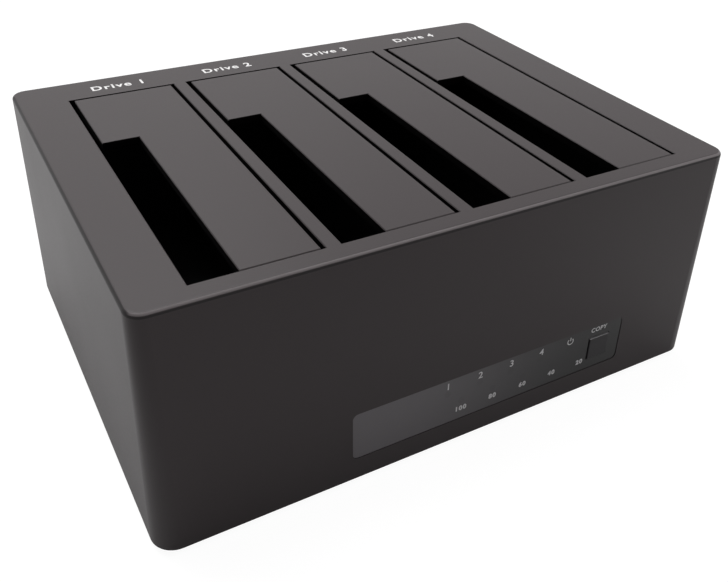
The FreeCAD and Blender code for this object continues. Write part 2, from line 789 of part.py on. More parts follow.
def bay_flap(index, bay):
    """The L-shaped flap: plate, rear lip, two hinge knuckles on necks, and the spring's seat."""
    body = new_body(f"bay_flap_{bay}")
    plate = sketch_on(body, f"flap_{bay}_outline", "XY_Plane")
    polygon(plate, [("slot_width", "flap_front_gap"), ("flap_right", "flap_front_gap"),
                    ("flap_right", "flap_back"), ("flap_left_gap", "flap_back"),
                    ("flap_left_gap", "slot_length"), ("slot_width", "slot_length")])
    solid = pad(body, f"flap_{bay}_plate", plate, "flap_thickness", reverse=True)
    rim = edges_where(solid, lambda point: abs(point.z) < 1e-6)
    dress(body, "Chamfer", f"flap_{bay}_edges", solid, rim, "edge_break")

    lip = sketch_on(body, f"flap_{bay}_lip_outline", "XY_Plane", "lip_top")
    polygon(lip, rectangle("flap_left_gap + lip_inset", "flap_right - lip_inset",
                           "flap_back - 1", "bay_length + lip_reach"))
    pad(body, f"flap_{bay}_lip", lip, "flap_thickness + lip_top", reverse=True)

    seat = sketch_on(body, f"flap_{bay}_seat_outline", "XY_Plane", "-flap_thickness / 2")
    polygon(seat, rectangle("hinge_x - spring_leg", "hinge_x - spring_leg / 2",
                            "coil_end - seat_half", "coil_end + seat_half"))
    pad(body, f"flap_{bay}_spring_seat", seat, "seat_drop - flap_thickness / 2", reverse=True)

    starts = (("front", "knuckle_inset"), ("rear", "bay_length - knuckle_inset - knuckle_length"))
    for end, start in starts:
        neck = sketch_on(body, f"flap_{bay}_neck_{end}", "XZ_Plane", f"-({start})")
        polygon(neck, [("flap_right - neck_root", "-flap_thickness / 2"),
                       ("flap_right", "-flap_thickness / 2"),
                       ("flap_right", "-flap_thickness"), ("hinge_x", "-hinge_drop + barrel_radius * 0.4"),
                       ("hinge_x", "-hinge_drop - barrel_radius * 0.8"),
                       ("hinge_x - barrel_radius * 0.7", "-hinge_drop - barrel_radius * 0.65"),
                       ("flap_right - neck_root", "-flap_thickness")])
        pad(body, f"flap_{bay}_neck_{end}_pad", neck, "knuckle_length", reverse=True)
        barrel = sketch_on(body, f"flap_{bay}_barrel_{end}", "XZ_Plane", f"-({start})")
        circles(barrel, [("hinge_x", "-hinge_drop")], "barrel_radius")
        pad(body, f"flap_{bay}_barrel_{end}_pad", barrel, "knuckle_length", reverse=True)
    bore = sketch_on(body, f"flap_{bay}_bore", "XZ_Plane")
    circles(bore, [("hinge_x", "-hinge_drop")], "pin_radius + pin_play")
    pocket(body, f"flap_{bay}_bore_pocket", bore, "bay_length")
    subpart(in_bay(body, index), f"bay_flap_{bay}")


def hinge_pin(index, bay):
    item = doc.addObject("Part::Cylinder", f"hinge_pin_{bay}")
    item.Placement = Placement(Vector(), Rotation(Vector(1, 0, 0), -90))
    bind(item, "Radius", "pin_radius")
    bind(item, "Height", "well_back + 2 * liner_wall")
    place(item, bay_left(index) + " + hinge_x", "bay_y - liner_wall", "top_z - hinge_drop")
    subpart(item, f"hinge_pin_{bay}")


def flap_spring(index, bay):
    """Torsion spring on the pin: its first leg is held in the well's ear, its second lifts the flap."""
    body = new_body(f"flap_spring_{bay}")
    wire = sketch_on(body, f"spring_{bay}_wire", "XZ_Plane")
    circles(wire, [("coil_radius", "0")], "wire_radius")
    coil = body.newObject("PartDesign::AdditiveHelix", f"spring_{bay}_coil")
    coil.Profile = wire
    coil.ReferenceAxis = (wire, ["V_Axis"])
    coil.Mode = "pitch-height-angle"
    bind(coil, "Pitch", "coil_pitch")
    bind(coil, "Height", "coil_end - coil_start")
    coil.LeftHanded = True
    doc.recompute()
    anchor = sketch_on(body, f"spring_{bay}_anchor", "XY_Plane")
    circles(anchor, [("coil_radius", "0")], "wire_radius")
    pad(body, f"spring_{bay}_anchor_leg", anchor, "coil_start + liner_wall * 0.75", reverse=True)
    leg = sketch_on(body, f"spring_{bay}_leg", "XZ_Plane")
    circles(leg, [("-coil_radius", "coil_end - coil_start")], "wire_radius")
    pad(body, f"spring_{bay}_lifting_leg", leg, "spring_leg", reverse=True)
    turn = Rotation(Vector(0, 0, -1), Vector(-1, 0, 0), Vector(0, 1, 0), "ZXY")
    body.Placement = Placement(Vector(), turn)
    place(body, bay_left(index) + " + hinge_x", "bay_y + coil_start", "top_z - hinge_drop")
    subpart(body, f"flap_spring_{bay}")


def sata_socket(index, bay):
    """Upright drive socket on the main board, with its power and signal blade slots."""
    name = f"socket_{bay}"
    x = ("socket_left", "socket_left + socket_width")
    y = ("socket_front", "socket_front + socket_length")
    top = "-well_depth + socket_rise"
    solid = box(name + "_block", x, y, ("-board_drop", top))
    middle = "socket_left + socket_width / 2"
    start = "socket_front + (socket_length - power_blade - signal_blade - blade_gap) / 2"
    across = around(middle, "blade_slot")
    key = (f"{middle} - blade_slot / 2", f"{middle} + 1.2 * blade_slot")
    depth = (f"{top} - blade_depth", f"{top} + 1")
    signal = f"{start} + power_blade + blade_gap"
    tools = [
        box(name + "_power_slot", across, (start, f"{start} + power_blade"), depth),
        box(name + "_power_key", key, (start, f"{start} + blade_slot"), depth),
        box(name + "_signal_slot", across, (signal, f"{signal} + signal_blade"), depth),
        box(name + "_signal_key", key, (signal, f"{signal} + blade_slot"), depth),
    ]
    subpart(in_bay(cut(f"sata_socket_{bay}", solid, tools), index), f"sata_socket_{bay}")


# ---------------------------------------------------------------- main board

def post_places():
    """Where the wells' posts stand on the main board."""
    return [(bay_left(index) + " + post_across", f"bay_y + {along}")
            for index in range(len(BAYS)) for along in ("post_front", "post_rear")]


def main_board():
    body = new_body("main_board")
    outline = sketch_on(body, "board_outline", "XY_Plane", "base_top + standoff_height")
    polygon(outline, rectangle("-board_x", "board_x", "board_front", "board_back"))
    pad(body, "board", outline, "board_thickness")
    holes = sketch_on(body, "board_hole_circles", "XY_Plane", "board_top")
    circles(holes, post_places(), "screw_radius + screw_play")
    pocket(body, "board_holes", holes, "board_thickness")
    subpart(body, "main_board")


def liner_screws():
    """Screws from under the main board into the wells' posts."""
    low = "board_top - board_thickness - head_height"
    head = ("head_radius", "head_height")
    screws = [screw(f"liner_screw_{index}", x, y, low, head, "board_thickness + screw_bite")
              for index, (x, y) in enumerate(post_places())]
    subpart(group("liner_screws", screws), "liner_screws")


def chip(name, x, y, width, length, height):
    """A block-shaped part standing on the main board, given by its middle and its size."""
    return box(name, around(x, width), around(y, length), ("board_top", f"board_top + {height}"))


def board_parts():
    """The circuit's larger parts, in the free lanes between the sockets and behind them."""
    middle = bay_left(1) + " + post_across"
    right = bay_left(2) + " + post_across"
    socket_end = "bay_y + socket_front + socket_length"
    rear = f"{socket_end} + chip_row"
    chips = [
        chip("bridge_chip", f"{middle} - 4", rear, "bridge_chip", "bridge_chip", "bridge_chip_height"),
        chip("hub_chip", right, rear, "hub_chip", "hub_chip", "hub_chip_height"),
        chip("memory_chip", f"{middle} - 20", f"{rear} + 2",
             "memory_chip", "memory_chip", "memory_chip_height"),
    ]
    subpart(group("controller_chips", chips), "controller_chips")
    can = ("crystal_width", "crystal_length", "crystal_height")
    crystals = [
        chip("bridge_crystal", f"{middle} + 9", f"{rear} - 2", *can),
        chip("hub_crystal", f"{right} + 10", f"{rear} + 1", *can),
    ]
    subpart(group("clock_crystals", crystals), "clock_crystals")
    coils = []
    cans = []
    gates = []
    for index, bay in enumerate(BAYS):
        lane = bay_left(index) + " + post_across - 2"
        coils.append(chip(f"inductor_{bay}", lane, f"{socket_end} - 6",
                          "inductor_size", "inductor_size", "inductor_height"))
        gates.append(chip(f"gate_{bay}", lane, "bay_y + post_front + 10",
                          "gate_width", "gate_length", "gate_height"))
        cans.append(rod(f"capacitor_{bay}", "capacitor_radius", "z", lane,
                        "bay_y + socket_front + socket_length / 2",
                        ("board_top", "board_top + capacitor_height")))
    subpart(group("power_inductors", coils), "power_inductors")
    subpart(group("drive_power_transistors", gates), "drive_power_transistors")
    subpart(group("electrolytic_capacitors", cans), "electrolytic_capacitors")


# ---------------------------------------------------------------- front panel

def front_overlay():
    """Thin panel sheet in its recess, with a window for the button."""
    body = new_body("front_overlay")
    sheet_outline = sketch_on(body, "overlay_outline", "XY_Plane", "-recess_depth")
    rounded_rectangle(sheet_outline, "strip_left", "strip_right", "strip_rise", "strip_rise + strip_height",
                      "strip_radius")
    pad(body, "overlay_sheet", sheet_outline, "overlay_thickness")
    window = sketch_on(body, "overlay_window_outline", "XY_Plane", "0")
    polygon(window, rectangle("button_x - hole_half", "button_x + hole_half",
                              "button_mid_rise - hole_half", "button_mid_rise + hole_half"))
    pocket(body, "overlay_window", window, "2 * recess_depth")
    subpart(on_front_wall(body), "front_overlay")


def led_span():
    """The light board's ends along X."""
    return ("strip_left + bay_light_start - led_board_left", "button_x + flange_half + led_board_margin")


def led_board():
    """Upright light board behind the strip, joined to the main board by a pin header."""
    places = [f"strip_left + bay_light_start + {index} * header_pitch" for index in range(HEADER_PINS)]
    z = ("board_top + led_board_lift", "foot_height + led_top_rise")
    plate = box("led_plate", led_span(), ("led_front", "led_back"), z)
    holes = [rod(f"header_hole_{index}", "header_hole_radius", "y", x, ("led_front - 1", "led_back + 1"),
                 "board_top + header_pin_rise") for index, x in enumerate(places)]
    subpart(cut("led_board", plate, holes), "led_board")

    ends = (f"{places[0]} - header_pitch / 2", f"{places[-1]} + header_pitch / 2")
    strip = box("header_strip", ends, ("led_back", "led_back + header_depth"),
                ("board_top", "board_top + header_height"))
    step = box("header_step", (f"{places[0]} - header_pitch", f"{places[-1]} + header_pitch"),
               ("led_back - 1", "board_front"), ("board_top - 1", "board_top + led_board_lift"))
    pins = []
    for index, x in enumerate(places):
        pins.append(box(f"header_pin_{index}", (f"{x} - header_pin / 2", f"{x} + header_pin / 2"),
                        ("led_front - header_pin", "led_back + header_depth / 2"),
                        ("board_top + header_pin_rise - header_pin / 2",
                         "board_top + header_pin_rise + header_pin / 2")))
    subpart(fuse("board_header", [cut("header_block", strip, [step])] + pins), "board_header")


def status_leds():
    leds = []
    for index, (x, z) in enumerate(light_places()):
        leds.append(box(f"led_{index}", around(x, "led_length"), ("led_front - led_height", "led_front"),
                        around(z, "led_width")))
    subpart(group("status_leds", leds), "status_leds")


def light_shield():
    """Black block with one tunnel per light, which keeps each light to its own window."""
    low = "foot_height + strip_rise + bar_light_rise - light_radius - shield_wall"
    high = "foot_height + strip_rise + bay_light_rise + light_radius + shield_wall"
    span = ("strip_left + bay_light_start - shield_left", "button_x - flange_half - shield_gap")
    block = box("shield_block", span, ("inner_front + shield_gap", "led_front"), (low, high))
    tunnels = [rod(f"tunnel_{index}", "light_radius", "y", x, ("inner_front - 1", "led_front + 1"), z)
               for index, (x, z) in enumerate(light_places())]
    subpart(cut("light_shield", block, tunnels), "light_shield")


def copy_button():
    """Square button: a cap that leans with the wall, and a flange that keeps it in."""
    body = new_body("copy_button")
    low, high = "button_mid_rise - button_half", "button_mid_rise + button_half"

    def face(rise):
        return f"-top_depth / 2 - draft_out * (1 - ({rise}) / shell_height) - button_proud"

    side = sketch_on(body, "cap_profile", "YZ_Plane", "button_x - button_half")
    polygon(side, [(face(low), f"foot_height + {low}"), ("flange_front", f"foot_height + {low}"),
                   ("flange_front", f"foot_height + {high}"), (face(high), f"foot_height + {high}")])
    cap = pad(body, "cap", side, "button_size")
    front = value("flange_front") - 1.0
    rim = edges_where(cap, lambda point: point.y < front)
    dress(body, "Fillet", "cap_edges", cap, rim, "edge_break")
    flange = sketch_on(body, "flange_outline", "XZ_Plane", "-(flange_front)")
    middle = "foot_height + button_mid_rise"
    polygon(flange, rectangle("button_x - flange_half", "button_x + flange_half",
                              f"{middle} - flange_half", f"{middle} + flange_half"))
    pad(body, "flange", flange, "flange_thickness", reverse=True)
    subpart(body, "copy_button")


def button_switch():
    """Tactile switch on the light board, and its plunger, which travels with the button."""
    middle = "foot_height + button_mid_rise"
    block = box("switch_block", around("button_x", "switch_size"), ("switch_top", "led_front"),
                around(middle, "switch_size"))
    well = rod("plunger_well", "plunger_radius + plunger_play", "y", "button_x",
               ("switch_top - 1", "switch_top + plunger_root + button_travel + plunger_play"), middle)
    subpart(cut("button_switch", block, [well]), "button_switch")
    plunger = rod("switch_plunger", "plunger_radius", "y", "button_x",
                  ("flange_back", "switch_top + plunger_root"), middle)
    subpart(plunger, "switch_plunger")


# ---------------------------------------------------------------- rear sockets and power switch

def usb_socket():
    """Square computer socket: metal shell and its plastic tongues."""
    body = new_body("usb_shell")
    outer = sketch_on(body, "usb_outline", "XZ_Plane", "-port_face")
    rounded_rectangle(outer, "usb_across - usb_width / 2", "usb_across + usb_width / 2", "board_top",
                      "board_top + usb_height", "usb_corner")
    pad(body, "usb_block", outer, "usb_depth")
    mouth = sketch_on(body, "usb_mouth", "XZ_Plane", "-port_face")
    corners = (
        ("-usb_mouth_half", "usb_mouth_floor"), ("usb_mouth_half", "usb_mouth_floor"),
        ("usb_mouth_half", "usb_bevel_low"), ("usb_mouth_top_half", "usb_bevel_high"),
        ("usb_mouth_top_half", "usb_mouth_top"), ("-usb_mouth_top_half", "usb_mouth_top"),
        ("-usb_mouth_top_half", "usb_bevel_high"), ("-usb_mouth_half", "usb_bevel_low"),
    )
    polygon(mouth, [(f"usb_across + ({x})", f"board_top + {z}") for x, z in corners])
    pocket(body, "usb_cavity_pocket", mouth, "usb_cavity", reverse=True)
    subpart(body, "usb_shell")

    back = "port_face - usb_cavity"
    tongue = (f"{back} + contact_setback / 2", "port_face - contact_setback")
    pieces = []
    for name, half, depth, low, high in (
            ("backing", "usb_backing_half", (back, f"{back} + contact_setback"),
             "usb_mouth_floor + usb_lining", "usb_mouth_top - usb_lining"),
            ("tongue", "usb_tongue_half", tongue, "usb_tongue_low", "usb_tongue_low + usb_tongue_thick"),
            ("cap", "usb_cap_half", tongue, "usb_cap_low", "usb_cap_low + usb_cap_thick")):
        pieces.append(box(f"usb_{name}_block", (f"usb_across - {half}", f"usb_across + {half}"), depth,
                          (f"board_top + {low}", f"board_top + {high}")))
    subpart(fuse("usb_tongues", pieces), "usb_tongues")


def power_jack():
    """Barrel jack for the low-voltage supply, and its centre pin."""
    middle = "board_top + jack_height / 2 + jack_bore_lift"
    block = box("jack_block", around("jack_across", "jack_width"), ("port_face - jack_depth", "port_face"),
                ("board_top", "board_top + jack_height"))
    bore = rod("jack_bore_tool", "jack_bore", "y", "jack_across",
               ("port_face - jack_bore_depth", "port_face + 1"), middle)
    subpart(cut("power_jack", block, [bore]), "power_jack")
    pin = rod("jack_centre_pin", "jack_pin", "y", "jack_across",
              ("port_face - jack_bore_depth", "port_face - contact_setback"), middle)
    subpart(pin, "jack_centre_pin")


def power_switch():
    """Rocker switch: snap-in body with its bezel, two terminals and the rocker on its pivots."""
    x_mid, z_mid = "rocker_across", "rocker_z"

    back = "bezel_face - switch_body_depth"
    solid = fuse("switch_solid", [
        box("switch_bezel", around(x_mid, "bezel_width"), ("bezel_seat", "bezel_face"),
            around(z_mid, "bezel_height")),
        box("switch_case", around(x_mid, "switch_body_width"), (back, "bezel_seat + bezel_thickness / 2"),
            around(z_mid, "switch_body_height")),
    ])
    room = box("key_room", around(x_mid, "rocker_length + 2"),
               ("pivot_y - rocker_room", "bezel_face + 1"),
               around(z_mid, "rocker_height + 2 * rocker_play"))
    pivots = rod("pivot_holes", "pivot_radius + pin_play", "z", x_mid, "pivot_y",
                 around(z_mid, "rocker_height + 2 * (pivot_length + pivot_end_play)"))
    subpart(cut("switch_housing", solid, [room, pivots]), "switch_housing")

    blades = []
    for side, shift in (("left", "-terminal_shift"), ("right", "terminal_shift")):
        blades.append(box(f"terminal_{side}", around(f"{x_mid} + ({shift})", "terminal_width"),
                          around(f"{back} + terminal_inset", "terminal_thickness"),
                          ("board_top", "rocker_z - switch_body_height / 2")))
    subpart(group("switch_terminals", blades), "switch_terminals")

    body = new_body("power_rocker")
    key = sketch_on(body, "rocker_profile", "XY_Plane", "-rocker_height / 2")
    half = "rocker_length / 2"
    polygon(key, [(f"-{half}", "pivot_depth - key_corner"), (f"-{half}", "key_side"),
                  ("-key_tail_half", "-key_tail"), ("key_tail_half", "-key_tail"),
                  (half, "key_side"), (half, "pivot_depth - key_corner"), ("0", "pivot_depth - key_dip")])
    pad(body, "rocker_key", key, "rocker_height")
    stubs = sketch_on(body, "rocker_stub", "XY_Plane", "-rocker_height / 2 - pivot_length")
    circles(stubs, [("0", "0")], "pivot_radius")
    pad(body, "rocker_stubs", stubs, "rocker_height + 2 * pivot_length")
    bind(body, "Placement.Rotation.Angle", "rocker_tilt")
    place(body, x_mid, "pivot_y", z_mid)
    subpart(body, "power_rocker")


# ---------------------------------------------------------------- build, check and write

upper_housing()
base_plate()
rubber_feet()
base_screws()
for number, bay_name in enumerate(BAYS):
    bay_liner(number, bay_name)
    bay_flap(number, bay_name)
    hinge_pin(number, bay_name)
    flap_spring(number, bay_name)
    sata_socket(number, bay_name)
main_board()
liner_screws()
board_parts()
front_overlay()
led_board()
status_leds()
light_shield()
copy_button()
button_switch()
usb_socket()
power_jack()
power_switch()
doc.recompute()

for item in doc.Objects:
    if "Invalid" in item.State or "Error" in item.State:
        raise RuntimeError(f"{item.Label} did not build: {item.State}")
for item in subparts:
    if item.Shape.isNull() or not item.Shape.isValid() or not item.Shape.Solids:
        raise RuntimeError(f"{item.Label} is not a valid solid")

os.makedirs("parts", exist_ok=True)
for item in subparts:
    item.Shape.exportStep(os.path.join("parts", item.Label + ".step"))
    extent = item.Shape.BoundBox
    print(f"{item.Label}: {len(item.Shape.Solids)} solid(s), {item.Shape.Volume:.1f} mm3,"
          f" X {extent.XMin:.2f}..{extent.XMax:.2f}, Y {extent.YMin:.2f}..{extent.YMax:.2f},"
          f" Z {extent.ZMin:.2f}..{extent.ZMax:.2f}")
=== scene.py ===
# %% [markdown]
# # A four-bay drive duplicator, dressed
# The real object is a low box of dark moulded plastic.  Four spring flaps cover the drive wells
# in its top and leave a slot beside each, and a thin panel strip with marks and one button is
# sunk in its front.  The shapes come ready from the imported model, which holds the real sizes.
# This lesson gives each surface its finish, prints the marks, adds the small metal pieces that
# a maker would see, and lights the whole.

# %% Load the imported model
import json
import math

import bpy
import numpy as np
from mathutils import Matrix, Vector


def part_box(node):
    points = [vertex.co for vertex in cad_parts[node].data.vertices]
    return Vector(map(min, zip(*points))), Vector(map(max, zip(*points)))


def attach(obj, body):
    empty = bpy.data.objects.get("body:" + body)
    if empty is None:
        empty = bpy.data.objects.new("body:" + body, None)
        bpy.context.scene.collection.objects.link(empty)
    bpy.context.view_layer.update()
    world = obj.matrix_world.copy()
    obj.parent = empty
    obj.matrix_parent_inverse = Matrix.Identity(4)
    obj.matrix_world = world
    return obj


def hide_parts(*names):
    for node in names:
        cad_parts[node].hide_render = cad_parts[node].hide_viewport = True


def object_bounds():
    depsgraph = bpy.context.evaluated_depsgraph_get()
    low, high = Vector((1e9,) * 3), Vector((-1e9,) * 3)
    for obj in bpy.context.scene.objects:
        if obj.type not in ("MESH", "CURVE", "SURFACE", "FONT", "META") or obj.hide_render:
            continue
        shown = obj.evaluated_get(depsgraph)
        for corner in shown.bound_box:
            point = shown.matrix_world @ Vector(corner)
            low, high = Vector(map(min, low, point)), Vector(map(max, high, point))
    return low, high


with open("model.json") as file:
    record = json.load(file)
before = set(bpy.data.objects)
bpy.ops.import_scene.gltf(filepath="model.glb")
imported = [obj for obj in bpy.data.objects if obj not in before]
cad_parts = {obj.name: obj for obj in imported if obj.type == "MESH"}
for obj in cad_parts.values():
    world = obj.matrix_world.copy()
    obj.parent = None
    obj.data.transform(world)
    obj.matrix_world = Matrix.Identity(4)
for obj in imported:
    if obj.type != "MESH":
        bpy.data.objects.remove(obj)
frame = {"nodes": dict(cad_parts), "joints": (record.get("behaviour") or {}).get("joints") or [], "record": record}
cad_low, cad_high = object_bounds()
nodes = frame["nodes"]
BAYS = ("a", "b", "c", "d")
MM = 0.001
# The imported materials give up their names, because each finish below is named after its slot.
for packed in bpy.data.materials:
    packed.name = "packed_" + packed.name
print("nodes", len(nodes), "size in mm", [round(side / MM, 1) for side in cad_high - cad_low])

# %% [markdown]
# ## Helpers for materials
# Each finish is one Principled shader.  An effect that several finishes share, such as the
# grain of moulded plastic, is a node group: it is built once and placed in each material with
# its own values.  A few short helpers keep the node wiring readable.

# %% Groups and nodes
def socket_kind(value):
    """Four numbers make a colour socket; anything else a plain number."""
    return "NodeSocketColor" if isinstance(value, tuple) else "NodeSocketFloat"


def new_group(name, inputs, outputs):
    """An empty shader group: inputs maps each name to its usual value, outputs likewise."""
    group = bpy.data.node_groups.new(name, "ShaderNodeTree")
    for label, value in inputs.items():
        socket = group.interface.new_socket(label, in_out="INPUT", socket_type=socket_kind(value))
        socket.default_value = value
    for label, value in outputs.items():
        group.interface.new_socket(label, in_out="OUTPUT", socket_type=socket_kind(value))
    given = group.nodes.new("NodeGroupInput").outputs
    made = group.nodes.new("NodeGroupOutput").inputs
    return group, given, made


def fill(tree, node, inputs):
    """Give inputs values or links; _0 is the first input, and elsewhere _ stands for a space."""
    for label, value in inputs.items():
        place = int(label[1:]) if label[0] == "_" else label.replace("_", " ")
        if isinstance(value, bpy.types.NodeSocket):
            tree.links.new(value, node.inputs[place])
        else:
            node.inputs[place].default_value = value
    return node


def add(tree, kind, settings=None, **inputs):
    """A node with its settings and its inputs."""
    node = tree.nodes.new("ShaderNode" + kind)
    for label, value in (settings or {}).items():
        setattr(node, label, value)
    return fill(tree, node, inputs)


def use_group(tree, group, **inputs):
    """A shared effect placed in a material: the outputs of its group node."""
    node = tree.nodes.new("ShaderNodeGroup")
    node.node_tree = group
    return fill(tree, node, inputs).outputs


# %% Sums, comparisons and blends
def math_node(tree, operation, *inputs):
    """The value of one sum, difference, product or comparison of values or sockets."""
    given = {f"_{index}": value for index, value in enumerate(inputs)}
    return add(tree, "Math", {"operation": operation}, **given).outputs[0]


def product(tree, first, *others):
    """All the values or sockets multiplied together."""
    for other in others:
        first = math_node(tree, "MULTIPLY", first, other)
    return first


def above(tree, value, limit):
    """1 where the value is greater than the limit, and 0 elsewhere."""
    return math_node(tree, "GREATER_THAN", value, limit)


def below(tree, value, limit):
    """1 where the value is less than the limit, and 0 elsewhere."""
    return math_node(tree, "LESS_THAN", value, limit)


def ramp(tree, value, start, full, kind="SMOOTHSTEP"):
    """0 at start and before it, 1 at full and past it, and an eased step between them."""
    return add(tree, "MapRange", {"interpolation_type": kind}, Value=value, From_Min=start,
               From_Max=full, To_Min=0.0, To_Max=1.0).outputs[0]


def shade(colour, factor=1.0):
    """A colour times a factor, with the fourth number that a colour socket wants."""
    return (*(part * factor for part in colour), 1.0)


def blend(tree, mask, first, second):
    """A colour that goes from first to second as the mask goes from 0 to 1."""
    node = add(tree, "Mix", {"data_type": "RGBA", "blend_type": "MIX", "clamp_factor": True})
    return fill(tree, node, {"_0": mask, "_6": first, "_7": second}).outputs[2]


# %% Materials
FINISHES = {}


def new_material(name, **constants):
    """A Principled material: its tree and the inputs of its shader.  Constants are plain values
    on the shader's own sockets."""
    material = bpy.data.materials.new(name)
    material.use_nodes = True
    tree = material.node_tree
    tree.nodes.clear()
    output = tree.nodes.new("ShaderNodeOutputMaterial")
    shader = fill(tree, tree.nodes.new("ShaderNodeBsdfPrincipled"), constants)
    tree.links.new(shader.outputs["BSDF"], output.inputs["Surface"])
    FINISHES[name] = material
    return tree, shader.inputs


def finish_with(tree, shader, colour, roughness, height, depth_mm):
    """Feed the shader's colour and roughness, and its normal from a height depth_mm deep."""
    bump = add(tree, "Bump", Height=height, Distance=depth_mm * MM, Strength=1.0)
    tree.links.new(colour, shader["Base Color"])
    tree.links.new(roughness, shader["Roughness"])
    tree.links.new(bump.outputs["Normal"], shader["Normal"])


# %% [markdown]
# ## The grain of moulded plastic
# A spark-eroded mould leaves a fine even texture that scatters light, and the flow of the
# plastic leaves slow changes of tone.  Image textures could hold this, but noise worked out
# from Object coordinates keeps one scale on every piece, so the group uses two noises: a fine
# one for the height of the grain and a slow one for tone and roughness.

# %% Moulded grain
def moulded_grain():
    """Height = fine noise.  Tone = 1 + spread x (fine + slow - 1), times the colour, and the
    roughness gets its own spread x (fine + slow - 1) added."""
    group, given, made = new_group(
        "Moulded grain",
        {"Colour": (0.08, 0.08, 0.08, 1.0), "Tone spread": 0.10, "Roughness": 0.5,
         "Roughness spread": 0.08, "Grain scale": 2400.0, "Flow scale": 22.0},
        {"Colour": (0.0,) * 4, "Roughness": 0.0, "Height": 0.0})
    place = add(group, "TexCoord").outputs["Object"]
    fine = add(group, "TexNoise", Vector=place, Scale=given["Grain scale"], Detail=2.0)
    slow = add(group, "TexNoise", Vector=place, Scale=given["Flow scale"], Detail=3.0)
    both = math_node(group, "ADD", fine.outputs["Fac"], slow.outputs["Fac"])
    swing = math_node(group, "SUBTRACT", both, 1.0)
    tone = math_node(group, "MULTIPLY_ADD", swing, given["Tone spread"], 1.0)
    colour = add(group, "VectorMath", {"operation": "SCALE"}, _0=given["Colour"], Scale=tone)
    rough = math_node(group, "MULTIPLY_ADD", swing, given["Roughness spread"], given["Roughness"])
    group.links.new(colour.outputs[0], made["Colour"])
    group.links.new(rough, made["Roughness"])
    group.links.new(fine.outputs["Fac"], made["Height"])
    return group


GRAIN = moulded_grain()

# %% Moulded finishes
def grained(name, colour, roughness, depth_mm, spread=0.10, scale=2400.0, **constants):
    """A moulded finish: the grain group feeds colour, roughness and normal."""
    tree, shader = new_material(name, **constants)
    grain = use_group(tree, GRAIN, Colour=shade(colour), Roughness=roughness, Tone_spread=spread,
                      Grain_scale=scale)
    finish_with(tree, shader, grain["Colour"], grain["Roughness"], grain["Height"], depth_mm)


grained("well_plastic", (0.008, 0.008, 0.009), 0.45, 0.015, scale=1600.0, Specular_IOR_Level=0.35)
grained("foot_rubber", (0.014, 0.014, 0.014), 0.85, 0.03, scale=900.0)
grained("component_black", (0.014, 0.014, 0.015), 0.45, 0.01, spread=0.2)
grained("socket_black", (0.012, 0.012, 0.012), 0.4, 0.008)
grained("rocker_black", (0.012, 0.012, 0.012), 0.25, 0.002)
grained("tongue_blue", (0.02, 0.09, 0.42), 0.35, 0.004)
grained("light_lens", (0.75, 0.72, 0.5), 0.2, 0.002)
grained("ink_white", (0.74, 0.73, 0.73), 0.5, 0.004, spread=0.25, scale=1200.0)
grained("ink_grey", (0.60, 0.59, 0.60), 0.5, 0.004, spread=0.25, scale=1200.0)
print("moulded finishes", len(FINISHES))

# %% [markdown]
# ## Rubbed edges, a painted highlight and painted shade
# Two more effects belong to the box and its flaps.  Hands rest on the front's upper edge and
# rub it, so it is smoother than the flat faces, and its colour there is painted paler as a
# highlight.  Just under it, and along the upper edges of the box's sides, a thin line of painted
# shade is darker.  The sides of the openings and of the flaps, which nobody sees face on, get
# painted shade: they are made black and dull.  Both could be painted by hand.  Here they follow
# from the surface's own normal and place, so they stay right when a size changes.  A plastic
# always keeps a little gloss, and in a white surround that greys a cut side, so there the
# finish is that of a nearly black metal, which has none.

# %% Rubbed edges, painted highlight and painted shade
# The vertical part of a normal says how far it leans from straight up: 0.90 is 26 degrees,
# 0.66 is 49, 0.25 is 76 and 0.08 is 85.
RUB_FULL_FROM, RUB_FULL_TO = 0.90, 0.66
SIDE_SHADE_ENDS, SHADE_BAND_ENDS = 0.25, 0.08
SIDE_SHADE_LEAST, CORNER_FADE = 0.4, 0.4
PATCH_SCALE = 160.0


def rubbed_edges():
    """Mask = lean x front x patches: where the edge is smoother and gets its painted highlight.
    Lean is 1 where the normal leans between the full leans, front where it points forwards,
    and patches is 1 - unevenness x slow noise.  Painted shade = the greater of front x the band
    that leans further, and the upper edge of a side: where a dark line is painted."""
    group, given, made = new_group(
        "Rubbed edges, painted highlight and shade",
        {"Least lean": 0.985, "Most lean": 0.50, "Front start": -0.08, "Front full": -0.30,
         "Unevenness": 0.25},
        {"Mask": 0.0, "Painted shade": 0.0})
    source = add(group, "TexCoord").outputs
    across, back, up = add(group, "SeparateXYZ", _0=source["Normal"]).outputs
    front = ramp(group, back, given["Front start"], given["Front full"])
    lean = product(group, ramp(group, up, given["Least lean"], RUB_FULL_FROM),
                   ramp(group, up, given["Most lean"], RUB_FULL_TO))
    slow = add(group, "TexNoise", Vector=source["Object"], Scale=PATCH_SCALE, Detail=2.0)
    uneven = product(group, slow.outputs["Fac"], given["Unevenness"])
    patches = math_node(group, "SUBTRACT", 1.0, uneven)
    group.links.new(product(group, lean, patches, front), made["Mask"])
    # Painted shade: a dark line below the pale edge and along the upper edges of the sides.
    shade_band = product(group, above(group, up, SHADE_BAND_ENDS), below(group, up, given["Most lean"]))
    sideways = math_node(group, "ABSOLUTE", across)
    past_corner = ramp(group, math_node(group, "ADD", sideways, back), 0.0, CORNER_FADE)
    side_shade_line = product(group, above(group, sideways, SIDE_SHADE_LEAST),
                        above(group, up, SIDE_SHADE_ENDS), past_corner)
    painted_shade = math_node(group, "MAXIMUM", product(group, shade_band, front), side_shade_line)
    group.links.new(painted_shade, made["Painted shade"])
    return group


EDGE_RUB_HIGHLIGHT_SHADE = rubbed_edges()

# %% Painted shade on hidden sides
LOOKS_UP, RIM_LOOKS_UP = 0.5, 0.3
RIM_FACES_FRONT = -0.3


